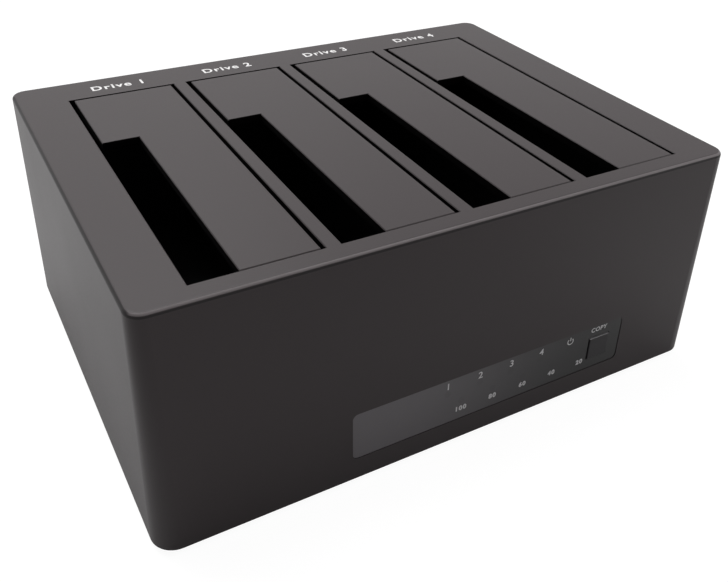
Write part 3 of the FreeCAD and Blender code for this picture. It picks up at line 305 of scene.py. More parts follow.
def hidden_sides():
    """Inside = 1 over the openings, where |x| and |y - middle| are small.  Mask = inside, on faces
    that don't look up: where shade is painted.  At the rear the broken edge of an opening gets
    the painted shade too, so that the gap there reads as a dark line."""
    group, given, made = new_group(
        "Painted shade on hidden sides", {"Half width": 0.07, "Middle": 0.0, "Half depth": 0.057},
        {"Mask": 0.0, "Inside": 0.0})
    source = add(group, "TexCoord").outputs
    place = add(group, "SeparateXYZ", _0=source["Object"]).outputs
    facing = add(group, "SeparateXYZ", _0=source["Normal"]).outputs
    from_middle = math_node(group, "SUBTRACT", place[1], given["Middle"])
    inside = product(
        group, below(group, math_node(group, "ABSOLUTE", place[0]), given["Half width"]),
        below(group, math_node(group, "ABSOLUTE", from_middle), given["Half depth"]))
    rear_rim = product(group, below(group, facing[1], RIM_FACES_FRONT),
                       above(group, place[1], given["Middle"]))
    most_up = math_node(group, "MULTIPLY_ADD", rear_rim, RIM_LOOKS_UP, LOOKS_UP)
    group.links.new(product(group, inside, below(group, facing[2], most_up)), made["Mask"])
    group.links.new(inside, made["Inside"])
    return group


SHADE_SIDES = hidden_sides()

# %% Where the openings are
flap_low, flap_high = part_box("bay_flap_a")
PAST_LEFT, PAST_FRONT, PAST_BACK = 1.6 * MM, 0.5 * MM, 2.0 * MM
opening_left = flap_low.x - PAST_LEFT
opening_front = flap_low.y - PAST_FRONT
opening_back = flap_high.y + PAST_BACK
print("hidden sides go from", round(opening_front / MM, 1), "to", round(opening_back / MM, 1), "mm")

# %% The plastics that show
SHOW_BLACK, BUTTON_BLACK = (0.035, 0.028, 0.0295), (0.026, 0.024, 0.026)
SHOW_ROUGHNESS, SHOW_DEPTH_MM = 0.42, 0.012
# The first tone is that of the painted shade line, the second that of the painted shade on hidden sides, both as
# parts of the colour.
PAINTED_SHADE_TONE, HIDDEN_SIDE_SHADE_TONE = 0.3, 0.05
RUBBED_SMOOTHER, SIDE_ROUGHER = 0.12, 0.45


def show_plastic(name, colour, highlight_gain, **rub_and_highlight_zone):
    """Textured black plastic, smoother where worn, with a painted highlight there: a paler colour.
    A painted shade line runs under that edge, and the hidden sides get painted shade: black, dull
    and metallic.  The highlight tone is the colour halfway to its own grey, times the third argument."""
    tree, shader = new_material(name, Specular_IOR_Level=0.2)
    grain = use_group(tree, GRAIN, Colour=shade(colour), Roughness=SHOW_ROUGHNESS)
    edges = use_group(tree, EDGE_RUB_HIGHLIGHT_SHADE, **rub_and_highlight_zone)
    opening = use_group(tree, SHADE_SIDES, Half_width=-opening_left,
                        Middle=(opening_front + opening_back) / 2,
                        Half_depth=(opening_back - opening_front) / 2)
    side, outside = opening["Mask"], math_node(tree, "SUBTRACT", 1.0, opening["Inside"])
    rub_and_highlight = product(tree, edges["Mask"], outside)
    # Painted highlight: the colour is made paler on the worn edge.
    painted_highlight = [highlight_gain * (sum(colour) / 3 + part) / 2 for part in colour]
    tone = blend(tree, rub_and_highlight, grain["Colour"], shade(painted_highlight))
    # Painted shade: the thin dark line under the pale edge and along the sides' upper edges.
    tone = blend(tree, product(tree, edges["Painted shade"], outside), tone, shade(colour, PAINTED_SHADE_TONE))
    # Painted shade: the hidden sides of the openings and the flaps are made nearly black.
    tone = blend(tree, side, tone, shade(colour, HIDDEN_SIDE_SHADE_TONE))
    rough = math_node(tree, "MULTIPLY_ADD", rub_and_highlight, -RUBBED_SMOOTHER, grain["Roughness"])
    rough = math_node(tree, "MULTIPLY_ADD", side, SIDE_ROUGHER, rough)
    height = product(tree, grain["Height"], math_node(tree, "SUBTRACT", 1.0, rub_and_highlight))
    # The painted shade is metallic too, so that those sides lose the plastic's gloss.
    tree.links.new(side, shader["Metallic"])
    finish_with(tree, shader, tone, rough, height, SHOW_DEPTH_MM)


# How much paler each plastic's painted highlight is on its worn edges.
show_plastic("housing_plastic", SHOW_BLACK, highlight_gain=5.0)
show_plastic("flap_plastic", SHOW_BLACK, highlight_gain=1.5)
# A finger reaches the button from above, so its whole upper side counts as worn, and there its colour gets a
# strong painted highlight.
show_plastic("button_plastic", BUTTON_BLACK, highlight_gain=14.0, Least_lean=1.5, Front_start=1.0,
             Front_full=0.5)
print("plastics that show", [name for name in FINISHES if name.endswith("plastic")])

# %% [markdown]
# ## The panel film
# The strip is one smoked film over a row of lights, which are hidden until they glow.  Its
# colour is painted paler at the plain left end and darker over the lights and round the button:
# a painted reflection that fades along the strip.  It could be a flat dark sheet, but then the
# strip looks dead.  Here the painted reflection follows the distance along the strip, and each
# light keeps a faint clear window.  The film is smooth, so it takes the grain's tone but neither
# its roughness nor its height.

# %% Where the lights are, in millimetres from the strip's left end and lower edge
strip_low, strip_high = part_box("front_overlay")
FIRST_LIGHT, LIGHT_PITCH, FIRST_STEP = 27.7, 10.1, 32.1
BAY_LIGHTS_UP, STEP_LIGHTS_UP = 9.9, 6.2
LIGHTS_IN_ROW = 5
print("the strip is", round((strip_high.x - strip_low.x) / MM, 1), "mm long")

# %% Smoked film
def smoked_film():
    """Painted reflection fade = eased way along the strip.  Window = 1 in discs repeated along a
    row: the distance to the nearest disc's middle, root of (along squared + up squared), is small."""
    group, given, made = new_group(
        "Smoked film",
        {"Left": -0.03, "Length": 0.08, "Foot": 0.008, "Pitch": 0.01, "First": 0.028,
         "Row height": 0.01, "Radius": 0.001},
        {"Density": 0.0, "Window": 0.0})
    place = add(group, "SeparateXYZ", _0=add(group, "TexCoord").outputs["Object"]).outputs
    along = math_node(group, "SUBTRACT", place[0], given["Left"])
    reflection_fade = ramp(group, along, 0.0, given["Length"], "SMOOTHERSTEP")
    half_pitch = product(group, given["Pitch"], 0.5)
    from_first = math_node(group, "SUBTRACT", along, given["First"])
    shifted = math_node(group, "ADD", from_first, half_pitch)
    wrapped = math_node(group, "WRAP", shifted, given["Pitch"], 0.0)
    to_nearest = math_node(group, "SUBTRACT", wrapped, half_pitch)
    above_foot = math_node(group, "SUBTRACT", place[2], given["Foot"])
    rise = math_node(group, "SUBTRACT", above_foot, given["Row height"])
    squares = math_node(group, "ADD", math_node(group, "POWER", to_nearest, 2.0),
                        math_node(group, "POWER", rise, 2.0))
    in_disc = below(group, math_node(group, "SQRT", squares), given["Radius"])
    row_length = product(group, given["Pitch"], LIGHTS_IN_ROW - 0.5)
    in_row = product(group, above(group, shifted, 0.0), below(group, from_first, row_length))
    group.links.new(reflection_fade, made["Density"])
    group.links.new(product(group, in_disc, in_row), made["Window"])
    return group


SMOKE = smoked_film()

# %% Finish of the film
# The pale colour of the left end and the dark one of the right end; between them the fade is painted reflection.
PALE_END_REFLECTION, DARK_END_FILM = (0.122, 0.112, 0.120), (0.011, 0.0105, 0.011)
CLEAR_WINDOW, WINDOW_SHOWS = (0.004, 0.004, 0.005), 0.10
tree, shader = new_material("panel_film", Specular_IOR_Level=0.34, Roughness=0.28)
grain = use_group(tree, GRAIN, Colour=shade(PALE_END_REFLECTION), Tone_spread=0.02, Grain_scale=300.0)
rows = [use_group(tree, SMOKE, Left=strip_low.x, Length=strip_high.x - strip_low.x,
                  Foot=strip_low.z, Pitch=LIGHT_PITCH * MM, First=first * MM,
                  Row_height=rise * MM, Radius=1.0 * MM)
        for first, rise in ((FIRST_LIGHT, BAY_LIGHTS_UP), (FIRST_STEP, STEP_LIGHTS_UP))]
# Painted reflection: the film is darkened from its pale left end towards the right.
tone = blend(tree, rows[0]["Density"], grain["Colour"], shade(DARK_END_FILM))
window = math_node(tree, "MAXIMUM", rows[0]["Window"], rows[1]["Window"])
tone = blend(tree, product(tree, window, WINDOW_SHOWS), tone, shade(CLEAR_WINDOW))
tree.links.new(tone, shader["Base Color"])
print("windows in the film", len(rows) * LIGHTS_IN_ROW)

# %% [markdown]
# ## Metals
# Metals share the grain group too, but very shallow, so that their reflections are not
# perfectly clean.

# %% Metals
METAL_DEPTH_MM = 0.002
METALS = {
    "zinc_steel": ((0.55, 0.55, 0.56), 0.35), "spring_steel": ((0.45, 0.45, 0.46), 0.3),
    "can_aluminium": ((0.7, 0.7, 0.72), 0.3), "crystal_metal": ((0.7, 0.7, 0.71), 0.25),
    "plated_shell": ((0.66, 0.66, 0.67), 0.25), "contact_brass": ((0.75, 0.6, 0.3), 0.3),
}
for name, (colour, roughness) in METALS.items():
    grained(name, colour, roughness, METAL_DEPTH_MM, Metallic=1.0)
print("metals", len(METALS))

# %% [markdown]
# ## The circuit boards
# A board is glass cloth under green solder mask.  Copper tracks show through as slightly raised,
# paler lines, and the plated holes are bright metal.  A picture of a real layout isn't needed:
# rows of bricks give tracks that run and stop, and a cell pattern gives scattered holes.

# %% Tracks and plated holes
CELLS_WITH_A_HOLE = 0.6


def board_tracks():
    """Track = thin gaps between long bricks.  Hole = small discs at the middles of the cells
    whose random number is above a limit."""
    group, given, made = new_group(
        "Board tracks", {"Track scale": 260.0, "Hole scale": 190.0, "Hole size": 0.10},
        {"Track": 0.0, "Hole": 0.0})
    place = add(group, "TexCoord").outputs["Object"]
    bricks = add(group, "TexBrick", Vector=place, Scale=given["Track scale"], Mortar_Size=0.035,
                 Brick_Width=2.2, Row_Height=0.22, Color1=(0, 0, 0, 1), Color2=(0, 0, 0, 1),
                 Mortar=(1, 1, 1, 1))
    flat = add(group, "VectorMath", {"operation": "MULTIPLY"}, _0=place, _1=(1, 1, 0))
    cells = add(group, "TexVoronoi", {"voronoi_dimensions": "3D"}, Vector=flat.outputs[0],
                Scale=given["Hole scale"])
    near = below(group, cells.outputs["Distance"], given["Hole size"])
    number = add(group, "SeparateColor", _0=cells.outputs["Color"]).outputs[0]
    group.links.new(bricks.outputs["Fac"], made["Track"])
    group.links.new(product(group, near, above(group, number, CELLS_WITH_A_HOLE)), made["Hole"])
    return group


TRACKS = board_tracks()

# %% Finish of the boards
MASK_GREEN, TRACK_GREEN = (0.006, 0.055, 0.022), (0.012, 0.11, 0.045)
PLATED_HOLE, GRAIN_BESIDE_TRACK = (0.70, 0.68, 0.62), 0.15
TRACK_DEPTH_MM = 0.03
tree, shader = new_material("board_green", Specular_IOR_Level=0.5)
grain = use_group(tree, GRAIN, Colour=shade(MASK_GREEN), Roughness=0.32)
copper = use_group(tree, TRACKS)
tone = blend(tree, copper["Track"], grain["Colour"], shade(TRACK_GREEN))
tone = blend(tree, copper["Hole"], tone, shade(PLATED_HOLE))
tree.links.new(copper["Hole"], shader["Metallic"])
height = math_node(tree, "MULTIPLY_ADD", grain["Height"], GRAIN_BESIDE_TRACK, copper["Track"])
finish_with(tree, shader, tone, grain["Roughness"], height, TRACK_DEPTH_MM)

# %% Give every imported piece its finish
for row in frame["record"]["subparts"]:
    nodes[row["node"]].material_slots[0].material = FINISHES[row["material_slot"]]

# %% [markdown]
# ## Making a piece from arrays
# New pieces are surfaces: a grid of points worked out by numpy, with quads between neighbours.
# The helpers below turn arrays into a mesh object at the origin, with its place in its points,
# and hang it on a body of the model.

# %% Mesh helpers
def grid_faces(rows, columns, wrap=False):
    """Quads of a grid, where point number = row x columns + column.  Each joins a point to the
    next in its row and in its column; a wrap joins the last column to the first."""
    row, column = np.meshgrid(np.arange(rows - 1), np.arange(columns if wrap else columns - 1),
                              indexing="ij")
    row, column = row.ravel(), column.ravel()
    next_column = (column + 1) % columns
    corners = [(row, column), (row, next_column), (row + 1, next_column), (row + 1, column)]
    return np.stack([r * columns + c for r, c in corners], axis=1)


def hang(name, mesh, material, body):
    """An object for a mesh, with its finish and the body it rides on."""
    mesh.update()
    mesh.materials.clear()
    mesh.materials.append(FINISHES[material])
    piece = bpy.data.objects.new(name, mesh)
    bpy.context.scene.collection.objects.link(piece)
    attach(piece, body)
    return piece


def new_piece(name, points, faces, material, slot, body="chassis"):
    """A piece from an array of points and a list of faces."""
    mesh = bpy.data.meshes.new(name)
    mesh.from_pydata(np.asarray(points, float).tolist(), [], [list(face) for face in faces])
    return hang(name, mesh, material, body)


# %% [markdown]
# ## Printed marks
# Real marks are pad-printed, a film of ink a few hundredths of a millimetre thick.  They could
# be drawn in the shader, but letters are far sharper as shapes: each is made as text, turned
# into a mesh, and laid on its surface.  The words are plain ones, numbers and a power sign.

# %% Ink and printed text
INK = 0.02 * MM
LEVEL = (1, 0, 0)


def lay_flat(flat, place, across, up):
    """Point = place + x across + y up + (z + ink) out, where out is across turned onto up."""
    across, up = np.array(across, float), np.array(up, float)
    out = np.cross(across, up)
    return flat @ np.array([across, up, out]) + np.array(place) + out * INK


def printed(name, words, height, place, up, ink, slot, weight, spacing=1.0):
    """Text of a given height in metres, laid level with its middle at a place on a surface:
    scale = height / the height of the letters as drawn."""
    curve = bpy.data.curves.new(name, "FONT")
    curve.body = words
    curve.size = 1.0
    curve.offset = weight
    curve.space_character = spacing
    text = bpy.data.objects.new(name + "_text", curve)
    bpy.context.scene.collection.objects.link(text)
    drawn = text.evaluated_get(bpy.context.evaluated_depsgraph_get())
    mesh = bpy.data.meshes.new_from_object(drawn)
    bpy.data.objects.remove(text)
    flat = np.zeros(len(mesh.vertices) * 3)
    mesh.vertices.foreach_get("co", flat)
    flat = flat.reshape(-1, 3)
    low, high = flat.min(0), flat.max(0)
    size = height / (high[1] - low[1])
    laid = lay_flat((flat - (low + high) / 2) * size, place, LEVEL, up)
    mesh.vertices.foreach_set("co", laid.ravel())
    hang(name, mesh, ink, "chassis")
    print(name, "is", round((high[0] - low[0]) * size / MM, 1), "mm wide")


# %% Bay labels on the top face
BAY_WIDTH = 31.0 * MM
FLAP_LEFT_GAP = 1.4 * MM
LABEL_BEHIND_FLAP = 6.0 * MM
FLAP_LIP = 1.0 * MM
LABEL_HEIGHT = 3.3 * MM
for number, bay in enumerate(BAYS, start=1):
    low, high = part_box(f"bay_flap_{bay}")
    middle = low.x - FLAP_LEFT_GAP + BAY_WIDTH / 2
    place = (middle, high.y - FLAP_LIP + LABEL_BEHIND_FLAP, cad_high.z)
    printed(f"bay_label_{bay}", f"Drive {number}", LABEL_HEIGHT, place, (0, 1, 0), "ink_white",
            "housing_plastic", weight=0.025, spacing=1.2)

# %% [markdown]
# ## Marks on the panel strip
# The strip leans with the front wall, which goes back by its draft over its height.  Every mark
# is placed by how far it lies from the strip's left end and how far above its lower edge.

# %% The face of the strip
FILM = 0.3 * MM
WALL_DRAFT_MM, WALL_HEIGHT_MM = 2.0, 66.4
LEAN = math.atan2(WALL_DRAFT_MM, WALL_HEIGHT_MM)
strip_up = Vector((0, math.sin(LEAN), math.cos(LEAN)))
strip_foot = Vector((strip_low.x, strip_low.y, strip_low.z + FILM * math.sin(LEAN)))


def on_strip(from_left, risen):
    """Foot + from_left to the right + risen along the lean, both in millimetres."""
    return strip_foot + Vector((from_left * MM, 0, 0)) + strip_up * risen * MM


def strip_mark(name, words, height, from_left, risen, **style):
    """Words printed on the strip, level with it, from sizes in millimetres."""
    printed(name, words, height * MM, on_strip(from_left, risen), strip_up, "ink_grey",
            "panel_film", **style)


# %% Strip marks, in millimetres from the strip's left end and lower edge
BAY_MARK_HEIGHT, BAY_MARKS_UP = 2.1, 12.4
STEP_MARK_HEIGHT, STEP_MARKS_UP, STEP_MARKS_RIGHT = 1.65, 3.5, 0.2
WORD_HEIGHT, WORD_FROM_LEFT, WORD_UP = 1.5, 78.4, 13.3
for index, bay in enumerate(BAYS):
    strip_mark(f"bay_mark_{bay}", str(index + 1), BAY_MARK_HEIGHT,
               FIRST_LIGHT + index * LIGHT_PITCH, BAY_MARKS_UP, weight=0.01)
for index, amount in enumerate((100, 80, 60, 40, 20)):
    strip_mark(f"step_mark_{amount}", str(amount), STEP_MARK_HEIGHT,
               FIRST_STEP + STEP_MARKS_RIGHT + index * LIGHT_PITCH, STEP_MARKS_UP,
               weight=0.05, spacing=1.25)
strip_mark("button_mark", "COPY", WORD_HEIGHT, WORD_FROM_LEFT, WORD_UP, weight=0.02, spacing=1.1)

# %% Bands and bars
def arc_band(radius, width, start, end, steps):
    """A flat band along an arc: (r cos t, r sin t), with r at the inner and the outer edge."""
    turn = np.radians(np.linspace(start, end, steps))[:, None]
    ring = np.array([radius - width / 2, radius + width / 2])[None, :]
    flat = np.stack([ring * np.cos(turn), ring * np.sin(turn), np.zeros((steps, 2))], axis=-1)
    return flat.reshape(-1, 3), grid_faces(steps, 2)[:, ::-1]


def bar(half_width, low, high):
    """The four corners of a flat upright bar, from sizes in millimetres."""
    return np.array([(-half_width, low, 0), (half_width, low, 0), (half_width, high, 0),
                     (-half_width, high, 0)]) * MM


# %% Power sign
POWER_SIGN_UP = 12.3
ring, ring_faces = arc_band(0.95 * MM, 0.3 * MM, 130, 410, 33)
stem = tuple(range(len(ring), len(ring) + 4))
sign = lay_flat(np.concatenate([ring, bar(0.15, 0.2, 1.35)]),
                on_strip(FIRST_LIGHT + len(BAYS) * LIGHT_PITCH, POWER_SIGN_UP), LEVEL, strip_up)
new_piece("power_mark", sign, [*ring_faces, stem], "ink_grey", "panel_film")
print("power sign stands", round((sign[:, 2].min() - strip_low.z) / MM, 1), "mm up the strip")

# %% [markdown]
# ## The power switch marks
# A rocker switch shows a line for on and a ring for off, moulded or printed on its two lobes.
# They ride with the rocker, so they are placed about its pivot: each lobe rises from the dip in
# the rocker's middle to its end, and the whole rocker leans to its off side at rest.

# %% The lobes of the rocker
ROCKER_LEAN = math.radians(10.0)
LOBE_RISE = math.atan2(0.45, 4.9)
ROCKER_DIP = 3.0 * MM
MARK_FROM_MIDDLE = 2.6 * MM
rocker_joint = next(joint for joint in frame["joints"] if joint["name"] == "power_rocker_tilt")
pivot = Vector(rocker_joint["pos_m"])


def on_lobe(side):
    """Middle of a lobe's mark and its level direction to the left: turned by lean + side x rise."""
    lobe = Matrix.Rotation(ROCKER_LEAN + side * LOBE_RISE, 3, "Z")
    dip = Matrix.Rotation(ROCKER_LEAN, 3, "Z") @ Vector((0, ROCKER_DIP, 0))
    return pivot + dip + lobe @ Vector((side * MARK_FROM_MIDDLE, 0, 0)), lobe @ Vector((-1, 0, 0))


# %% Line and ring on the rocker
off_ring, off_faces = arc_band(1.0 * MM, 0.35 * MM, 0, 360, 41)
for name, side, flat, faces in (("off_mark", 1, off_ring, off_faces),
                                ("on_mark", -1, bar(0.18, -1.2, 1.2), [(0, 1, 2, 3)])):
    place, left = on_lobe(side)
    new_piece(name, lay_flat(flat, place, left, (0, 0, 1)), faces, "ink_white",
              "rocker_black", "power_rocker")
    print(name, "is", round((place - pivot).length / MM, 1), "mm from the pivot")

# %% [markdown]
# ## Spring contacts and chip legs
# A spring contact and a chip's leg are the same thing in two lengths: a thin flat strip bent
# along a path.  A curve with a bevel could make one, but its section isn't flat, and there are
# well over two hundred strips.  Here one path gets a width and a thickness, and a single array
# sum repeats it at every place.

# %% Bent strips
UPWARDS = np.array([0.0, 0.0, 1.0])


def bent_strips(path, width, thickness, places, outward):
    """Corner = place + s outward + t up, moved half the thickness along the path's normal and
    half the width sideways.  The path gives s and t; sideways is outward turned a quarter about
    the vertical."""
    path, places = np.asarray(path, float), np.atleast_2d(places)
    outward = np.broadcast_to(np.asarray(outward, float), places.shape)
    along = np.gradient(path, axis=0)
    along /= np.linalg.norm(along, axis=1, keepdims=True)
    normal = np.stack([-along[:, 1], along[:, 0]], axis=1) * thickness / 2
    ring = np.stack([path - normal, path - normal, path + normal, path + normal], axis=1)
    halves = np.array([-1, 1, 1, -1])[:, None] * width / 2
    sideways = np.cross(outward, UPWARDS)[:, None, None] * halves
    points = (places[:, None, None] + outward[:, None, None] * ring[..., :1]
              + UPWARDS * ring[..., 1:] + sideways)
    last = 4 * (len(path) - 1)
    faces = np.concatenate([grid_faces(len(path), 4, wrap=True), [[0, 1, 2, 3]],
                            [[last + 3, last + 2, last + 1, last]]])
    steps = np.arange(len(places)) * 4 * len(path)
    return points.reshape(-1, 3), (faces[None] + steps[:, None, None]).reshape(-1, 4)


def strip_piece(name, strips, material, slot):
    """One piece from several batches of strips.  Its signed volume, a sixth of the sum of
    a . (b x c) over its triangles, says whether the faces look out or have to be turned."""
    points = np.concatenate([batch[0] for batch in strips])
    starts = np.cumsum([0] + [len(batch[0]) for batch in strips[:-1]])
    faces = np.concatenate([batch[1] + start for batch, start in zip(strips, starts)])
    first, second, third, fourth = (points[faces[:, corner]] for corner in range(4))
    halves = np.cross(second, third) + np.cross(third, fourth)
    volume = (first * halves).sum() / 6
    new_piece(name, points, faces if volume > 0 else faces[:, ::-1], material, slot)
    print(name, "faces", len(faces), "volume in mm3", round(abs(volume) / MM ** 3, 2))


def centred(count):
    """Whole steps with their middle at zero: number - (count - 1) / 2."""
    return np.arange(count) - (count - 1) / 2


# %% Contacts in the drive sockets
CONTACT_PITCH, CONTACT_WIDTH, CONTACT_THICK = 1.27 * MM, 0.7 * MM, 0.12 * MM
POWER_CONTACTS, POWER_MIDDLE = 15, 14.5 * MM
SIGNAL_CONTACTS, SIGNAL_MIDDLE = 7, 33.6 * MM
CONTACT_FOOT, CONTACT_FROM_MIDDLE = 5.1 * MM, 0.7 * MM
# The path bulges off its wall: away = start + bulge x (sin pi t) squared, up = height x t.
CONTACT_START, CONTACT_BULGE, CONTACT_HEIGHT = 0.1, 0.38, 4.8
rise = np.linspace(0, 1, 13)
away = CONTACT_START + CONTACT_BULGE * np.sin(np.pi * rise) ** 2
contact_path = np.stack([away, CONTACT_HEIGHT * rise], axis=1) * MM
for bay in BAYS:
    low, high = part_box(f"sata_socket_{bay}")
    power = low.y + POWER_MIDDLE + centred(POWER_CONTACTS) * CONTACT_PITCH
    signal = low.y + SIGNAL_MIDDLE + centred(SIGNAL_CONTACTS) * CONTACT_PITCH
    along = np.concatenate([power, signal])
    wall = np.full(len(along), (low.x + high.x) / 2 - CONTACT_FROM_MIDDLE)
    foot = np.full(len(along), high.z - CONTACT_FOOT)
    places = np.stack([wall, along, foot], axis=1)
    contacts = bent_strips(contact_path, CONTACT_WIDTH, CONTACT_THICK, places, (1, 0, 0))
    strip_piece(f"socket_contacts_{bay}", [contacts], "contact_brass", "contact_brass")

# %% Contacts in the computer socket
# Each row: where its contacts are across, how high over the board, the side of the tongue they
# lie on and their width, in millimetres.
USB_ROWS = (((-1.25, 1.25), 6.0, 1, 0.9), ((-1.25, 1.25), 3.0, -1, 0.9),
            ((-1.8, -0.9, 0, 0.9, 1.8), 8.8, -1, 0.5))
TONGUE_TO_CONTACT = 0.07
board_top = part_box("usb_shell")[0].z
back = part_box("usb_tongues")[0].y + 1.0 * MM
# Each contact runs level and dips a little over its last part.
RUN_LENGTH, DIP, DIP_FROM = 7.4, 0.25, 0.85
run = np.linspace(0, 1, 9)
flat_run = np.stack([RUN_LENGTH * run, -DIP * np.clip(run - DIP_FROM, 0, 1)], axis=1) * MM
rows = []
for across, height, side, width in USB_ROWS:
    across = np.array(across, float) * MM
    level = board_top + height * MM + side * TONGUE_TO_CONTACT * MM
    places = np.stack([across, np.full(len(across), back), np.full(len(across), level)], axis=1)
    rows.append(bent_strips(flat_run * (1, side), width * MM, CONTACT_THICK, places, (0, 1, 0)))
strip_piece("computer_socket_contacts", rows, "contact_brass", "contact_brass")

# %% Contact in the supply jack
LEAF_LENGTH, LEAF_START, LEAF_BULGE = 8.0, 0.2, 0.9
LEAF_WIDTH, LEAF_THICK, LEAF_UNDER_PIN = 2.0 * MM, 0.2 * MM, 3.15 * MM
low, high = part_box("jack_centre_pin")
leaf = np.stack([LEAF_LENGTH * run, LEAF_START + LEAF_BULGE * np.sin(np.pi * run) ** 2], axis=1)
place = ((low.x + high.x) / 2, low.y + 0.2 * MM, (low.z + high.z) / 2 - LEAF_UNDER_PIN)
strip_piece("jack_leaf", [bent_strips(leaf * MM, LEAF_WIDTH, LEAF_THICK, place, (0, 1, 0))],
            "plated_shell", "plated_shell")

# %% Legs of a chip
LEG_THICK, LEG_TO_PITCH, FOOT_RISE = 0.12 * MM, 0.45, 0.07
board_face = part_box("controller_chips")[0].z


def legs(middle, half, height, count, pitch, directions):
    """Gull-wing legs on the sides of a square chip that face the given directions: out of the
    body at half its height, down, and out again along the board.  Sizes are in millimetres."""
    exit_up = height / 2
    path = np.array([(-0.1, exit_up), (0.15, exit_up), (0.3, exit_up - 0.08), (0.42, 0.22),
                     (0.55, FOOT_RISE + 0.01), (1.0, FOOT_RISE)]) * MM
    batches = []
    for direction in np.array(directions, float):
        side = np.array([-direction[1], direction[0], 0.0])
        spread = centred(count)[:, None] * pitch * MM * side
        places = (np.array([*middle, 0.0]) * MM + direction * half * MM + spread
                  + (0, 0, board_face))
        width = LEG_TO_PITCH * pitch * MM
        batches.append(bent_strips(path, width, LEG_THICK, places, direction))
    return batches


# %% Legs of the chips and transistors
ROUND = ((1, 0, 0), (-1, 0, 0), (0, 1, 0), (0, -1, 0))
SIDES, FRONT = ((1, 0, 0), (-1, 0, 0)), ((0, -1, 0),)
# Each chip: its middle, half its side, its height, legs on a side, their pitch and the sides.
CHIPS = (((-16.9, 10.7), 7.0, 1.4, 16, 0.8, ROUND), ((21.9, 10.7), 4.5, 1.0, 12, 0.65, ROUND),
         ((-32.9, 12.7), 2.6, 1.8, 4, 1.27, SIDES))
LANE_FROM_SOCKET = 16.8
lanes = [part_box(f"sata_socket_{bay}")[0].x / MM + LANE_FROM_SOCKET for bay in BAYS]
low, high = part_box("drive_power_transistors")
middle_y, half_y = (low.y + high.y) / 2 / MM, (high.y - low.y) / 2 / MM
TRANSISTORS = [((lane, middle_y), half_y, 2.3, 2, 4.56, FRONT) for lane in lanes]
for name, bodies in (("chip_legs", CHIPS), ("transistor_legs", TRANSISTORS)):
    strip_piece(name, [batch for body in bodies for batch in legs(*body)], "plated_shell",
                "crystal_metal")

# %% [markdown]
# ## The capacitors
# Each drive lane has an electrolytic capacitor: an aluminium can in a shrunk sleeve, with a
# neck where the rubber seal is crimped and a rim where the sleeve turns over the top.  The
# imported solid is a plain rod, so a turned piece stands for it: one profile carried round the
# axis, repeated at the four places in the same array.

# %% Turned cans
TURNS = 48
can_low, can_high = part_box("electrolytic_capacitors")
axes = np.array([(lane * MM, (can_low.y + can_high.y) / 2, can_low.z) for lane in lanes])


def turned(profile):
    """Point = axis + (r cos t, r sin t, z), with r and z from the profile and t round the circle;
    a flat face closes the first and the last ring of every can."""
    angle = np.linspace(0, 2 * np.pi, TURNS, endpoint=False)
    circle = np.stack([np.cos(angle), np.sin(angle)], axis=1)
    levels = np.broadcast_to(profile[:, None, 1:], (len(profile), TURNS, 1))
    ring = np.concatenate([profile[:, None, :1] * circle[None], levels], axis=2)
    points = ring[None] + axes[:, None, None]
    starts = np.arange(len(axes)) * len(profile) * TURNS
    quads = grid_faces(len(profile), TURNS, wrap=True)[None] + starts[:, None, None]
    base, last = np.arange(TURNS), (len(profile) - 1) * TURNS
    caps = [tuple(base[::-1] + start) for start in starts]
    caps += [tuple(base + start + last) for start in starts]
    return points.reshape(-1, 3), quads.reshape(-1, 4).tolist() + caps


# %% Sleeves with a printed stripe
SLEEVE_BLUE, SLEEVE_DEPTH_MM = (0.010, 0.012, 0.030), 0.004
STRIPE_GREY, STRIPE_FROM = (0.45, 0.45, 0.47), -0.93
tree, shader = new_material("capacitor_sleeve", Specular_IOR_Level=0.5)
grain = use_group(tree, GRAIN, Colour=shade(SLEEVE_BLUE), Roughness=0.28)
facing = add(tree, "SeparateXYZ", _0=add(tree, "TexCoord").outputs["Normal"]).outputs[0]
tone = blend(tree, below(tree, facing, STRIPE_FROM), grain["Colour"], shade(STRIPE_GREY))
finish_with(tree, shader, tone, grain["Roughness"], grain["Height"], SLEEVE_DEPTH_MM)
sleeve = np.array([(3.6, 0.0), (3.9, 0.08), (4.0, 0.4), (4.0, 1.2), (3.68, 1.45), (3.68, 1.8),
                   (4.0, 2.05), (4.0, 10.8), (3.9, 11.2), (3.6, 11.42), (3.3, 11.42),
                   (3.1, 11.2)]) * MM
sleeves = new_piece("capacitor_sleeves", *turned(sleeve), "capacitor_sleeve", "can_aluminium")
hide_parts("electrolytic_capacitors")
print("capacitors stand", round((can_high.z - can_low.z) / MM, 1), "mm high")

# %% Tops with a pressed cross
VENT_DEPTH, VENT_HALF_WIDTH, VENT_REACH = 0.12 * MM, 0.14, 2.6
TOP_RADIUS, TOP_RIM, TOP_LEVEL = 3.05, 11.1, 11.34
radius = np.concatenate([[TOP_RADIUS], np.linspace(TOP_RADIUS, 0.05, 22)]) * MM
height = np.concatenate([[TOP_RIM], np.full(22, TOP_LEVEL)]) * MM
points, faces = turned(np.stack([radius, height], axis=1))
# The cross: sink = depth x e^-(distance to the nearer arm / half width) squared, within reach.
x, y = np.moveaxis((points.reshape(len(axes), -1, 3) - axes[:, None])[..., :2] / MM, -1, 0)
arm = np.minimum(abs(x + y), abs(x - y)) / 2 ** 0.5
sink = VENT_DEPTH * np.exp(-(arm / VENT_HALF_WIDTH) ** 2) * (np.hypot(x, y) < VENT_REACH)
points[:, 2] -= sink.ravel()
new_piece("capacitor_tops", points, faces, "can_aluminium", "can_aluminium")
print("tops have", len(faces), "faces")

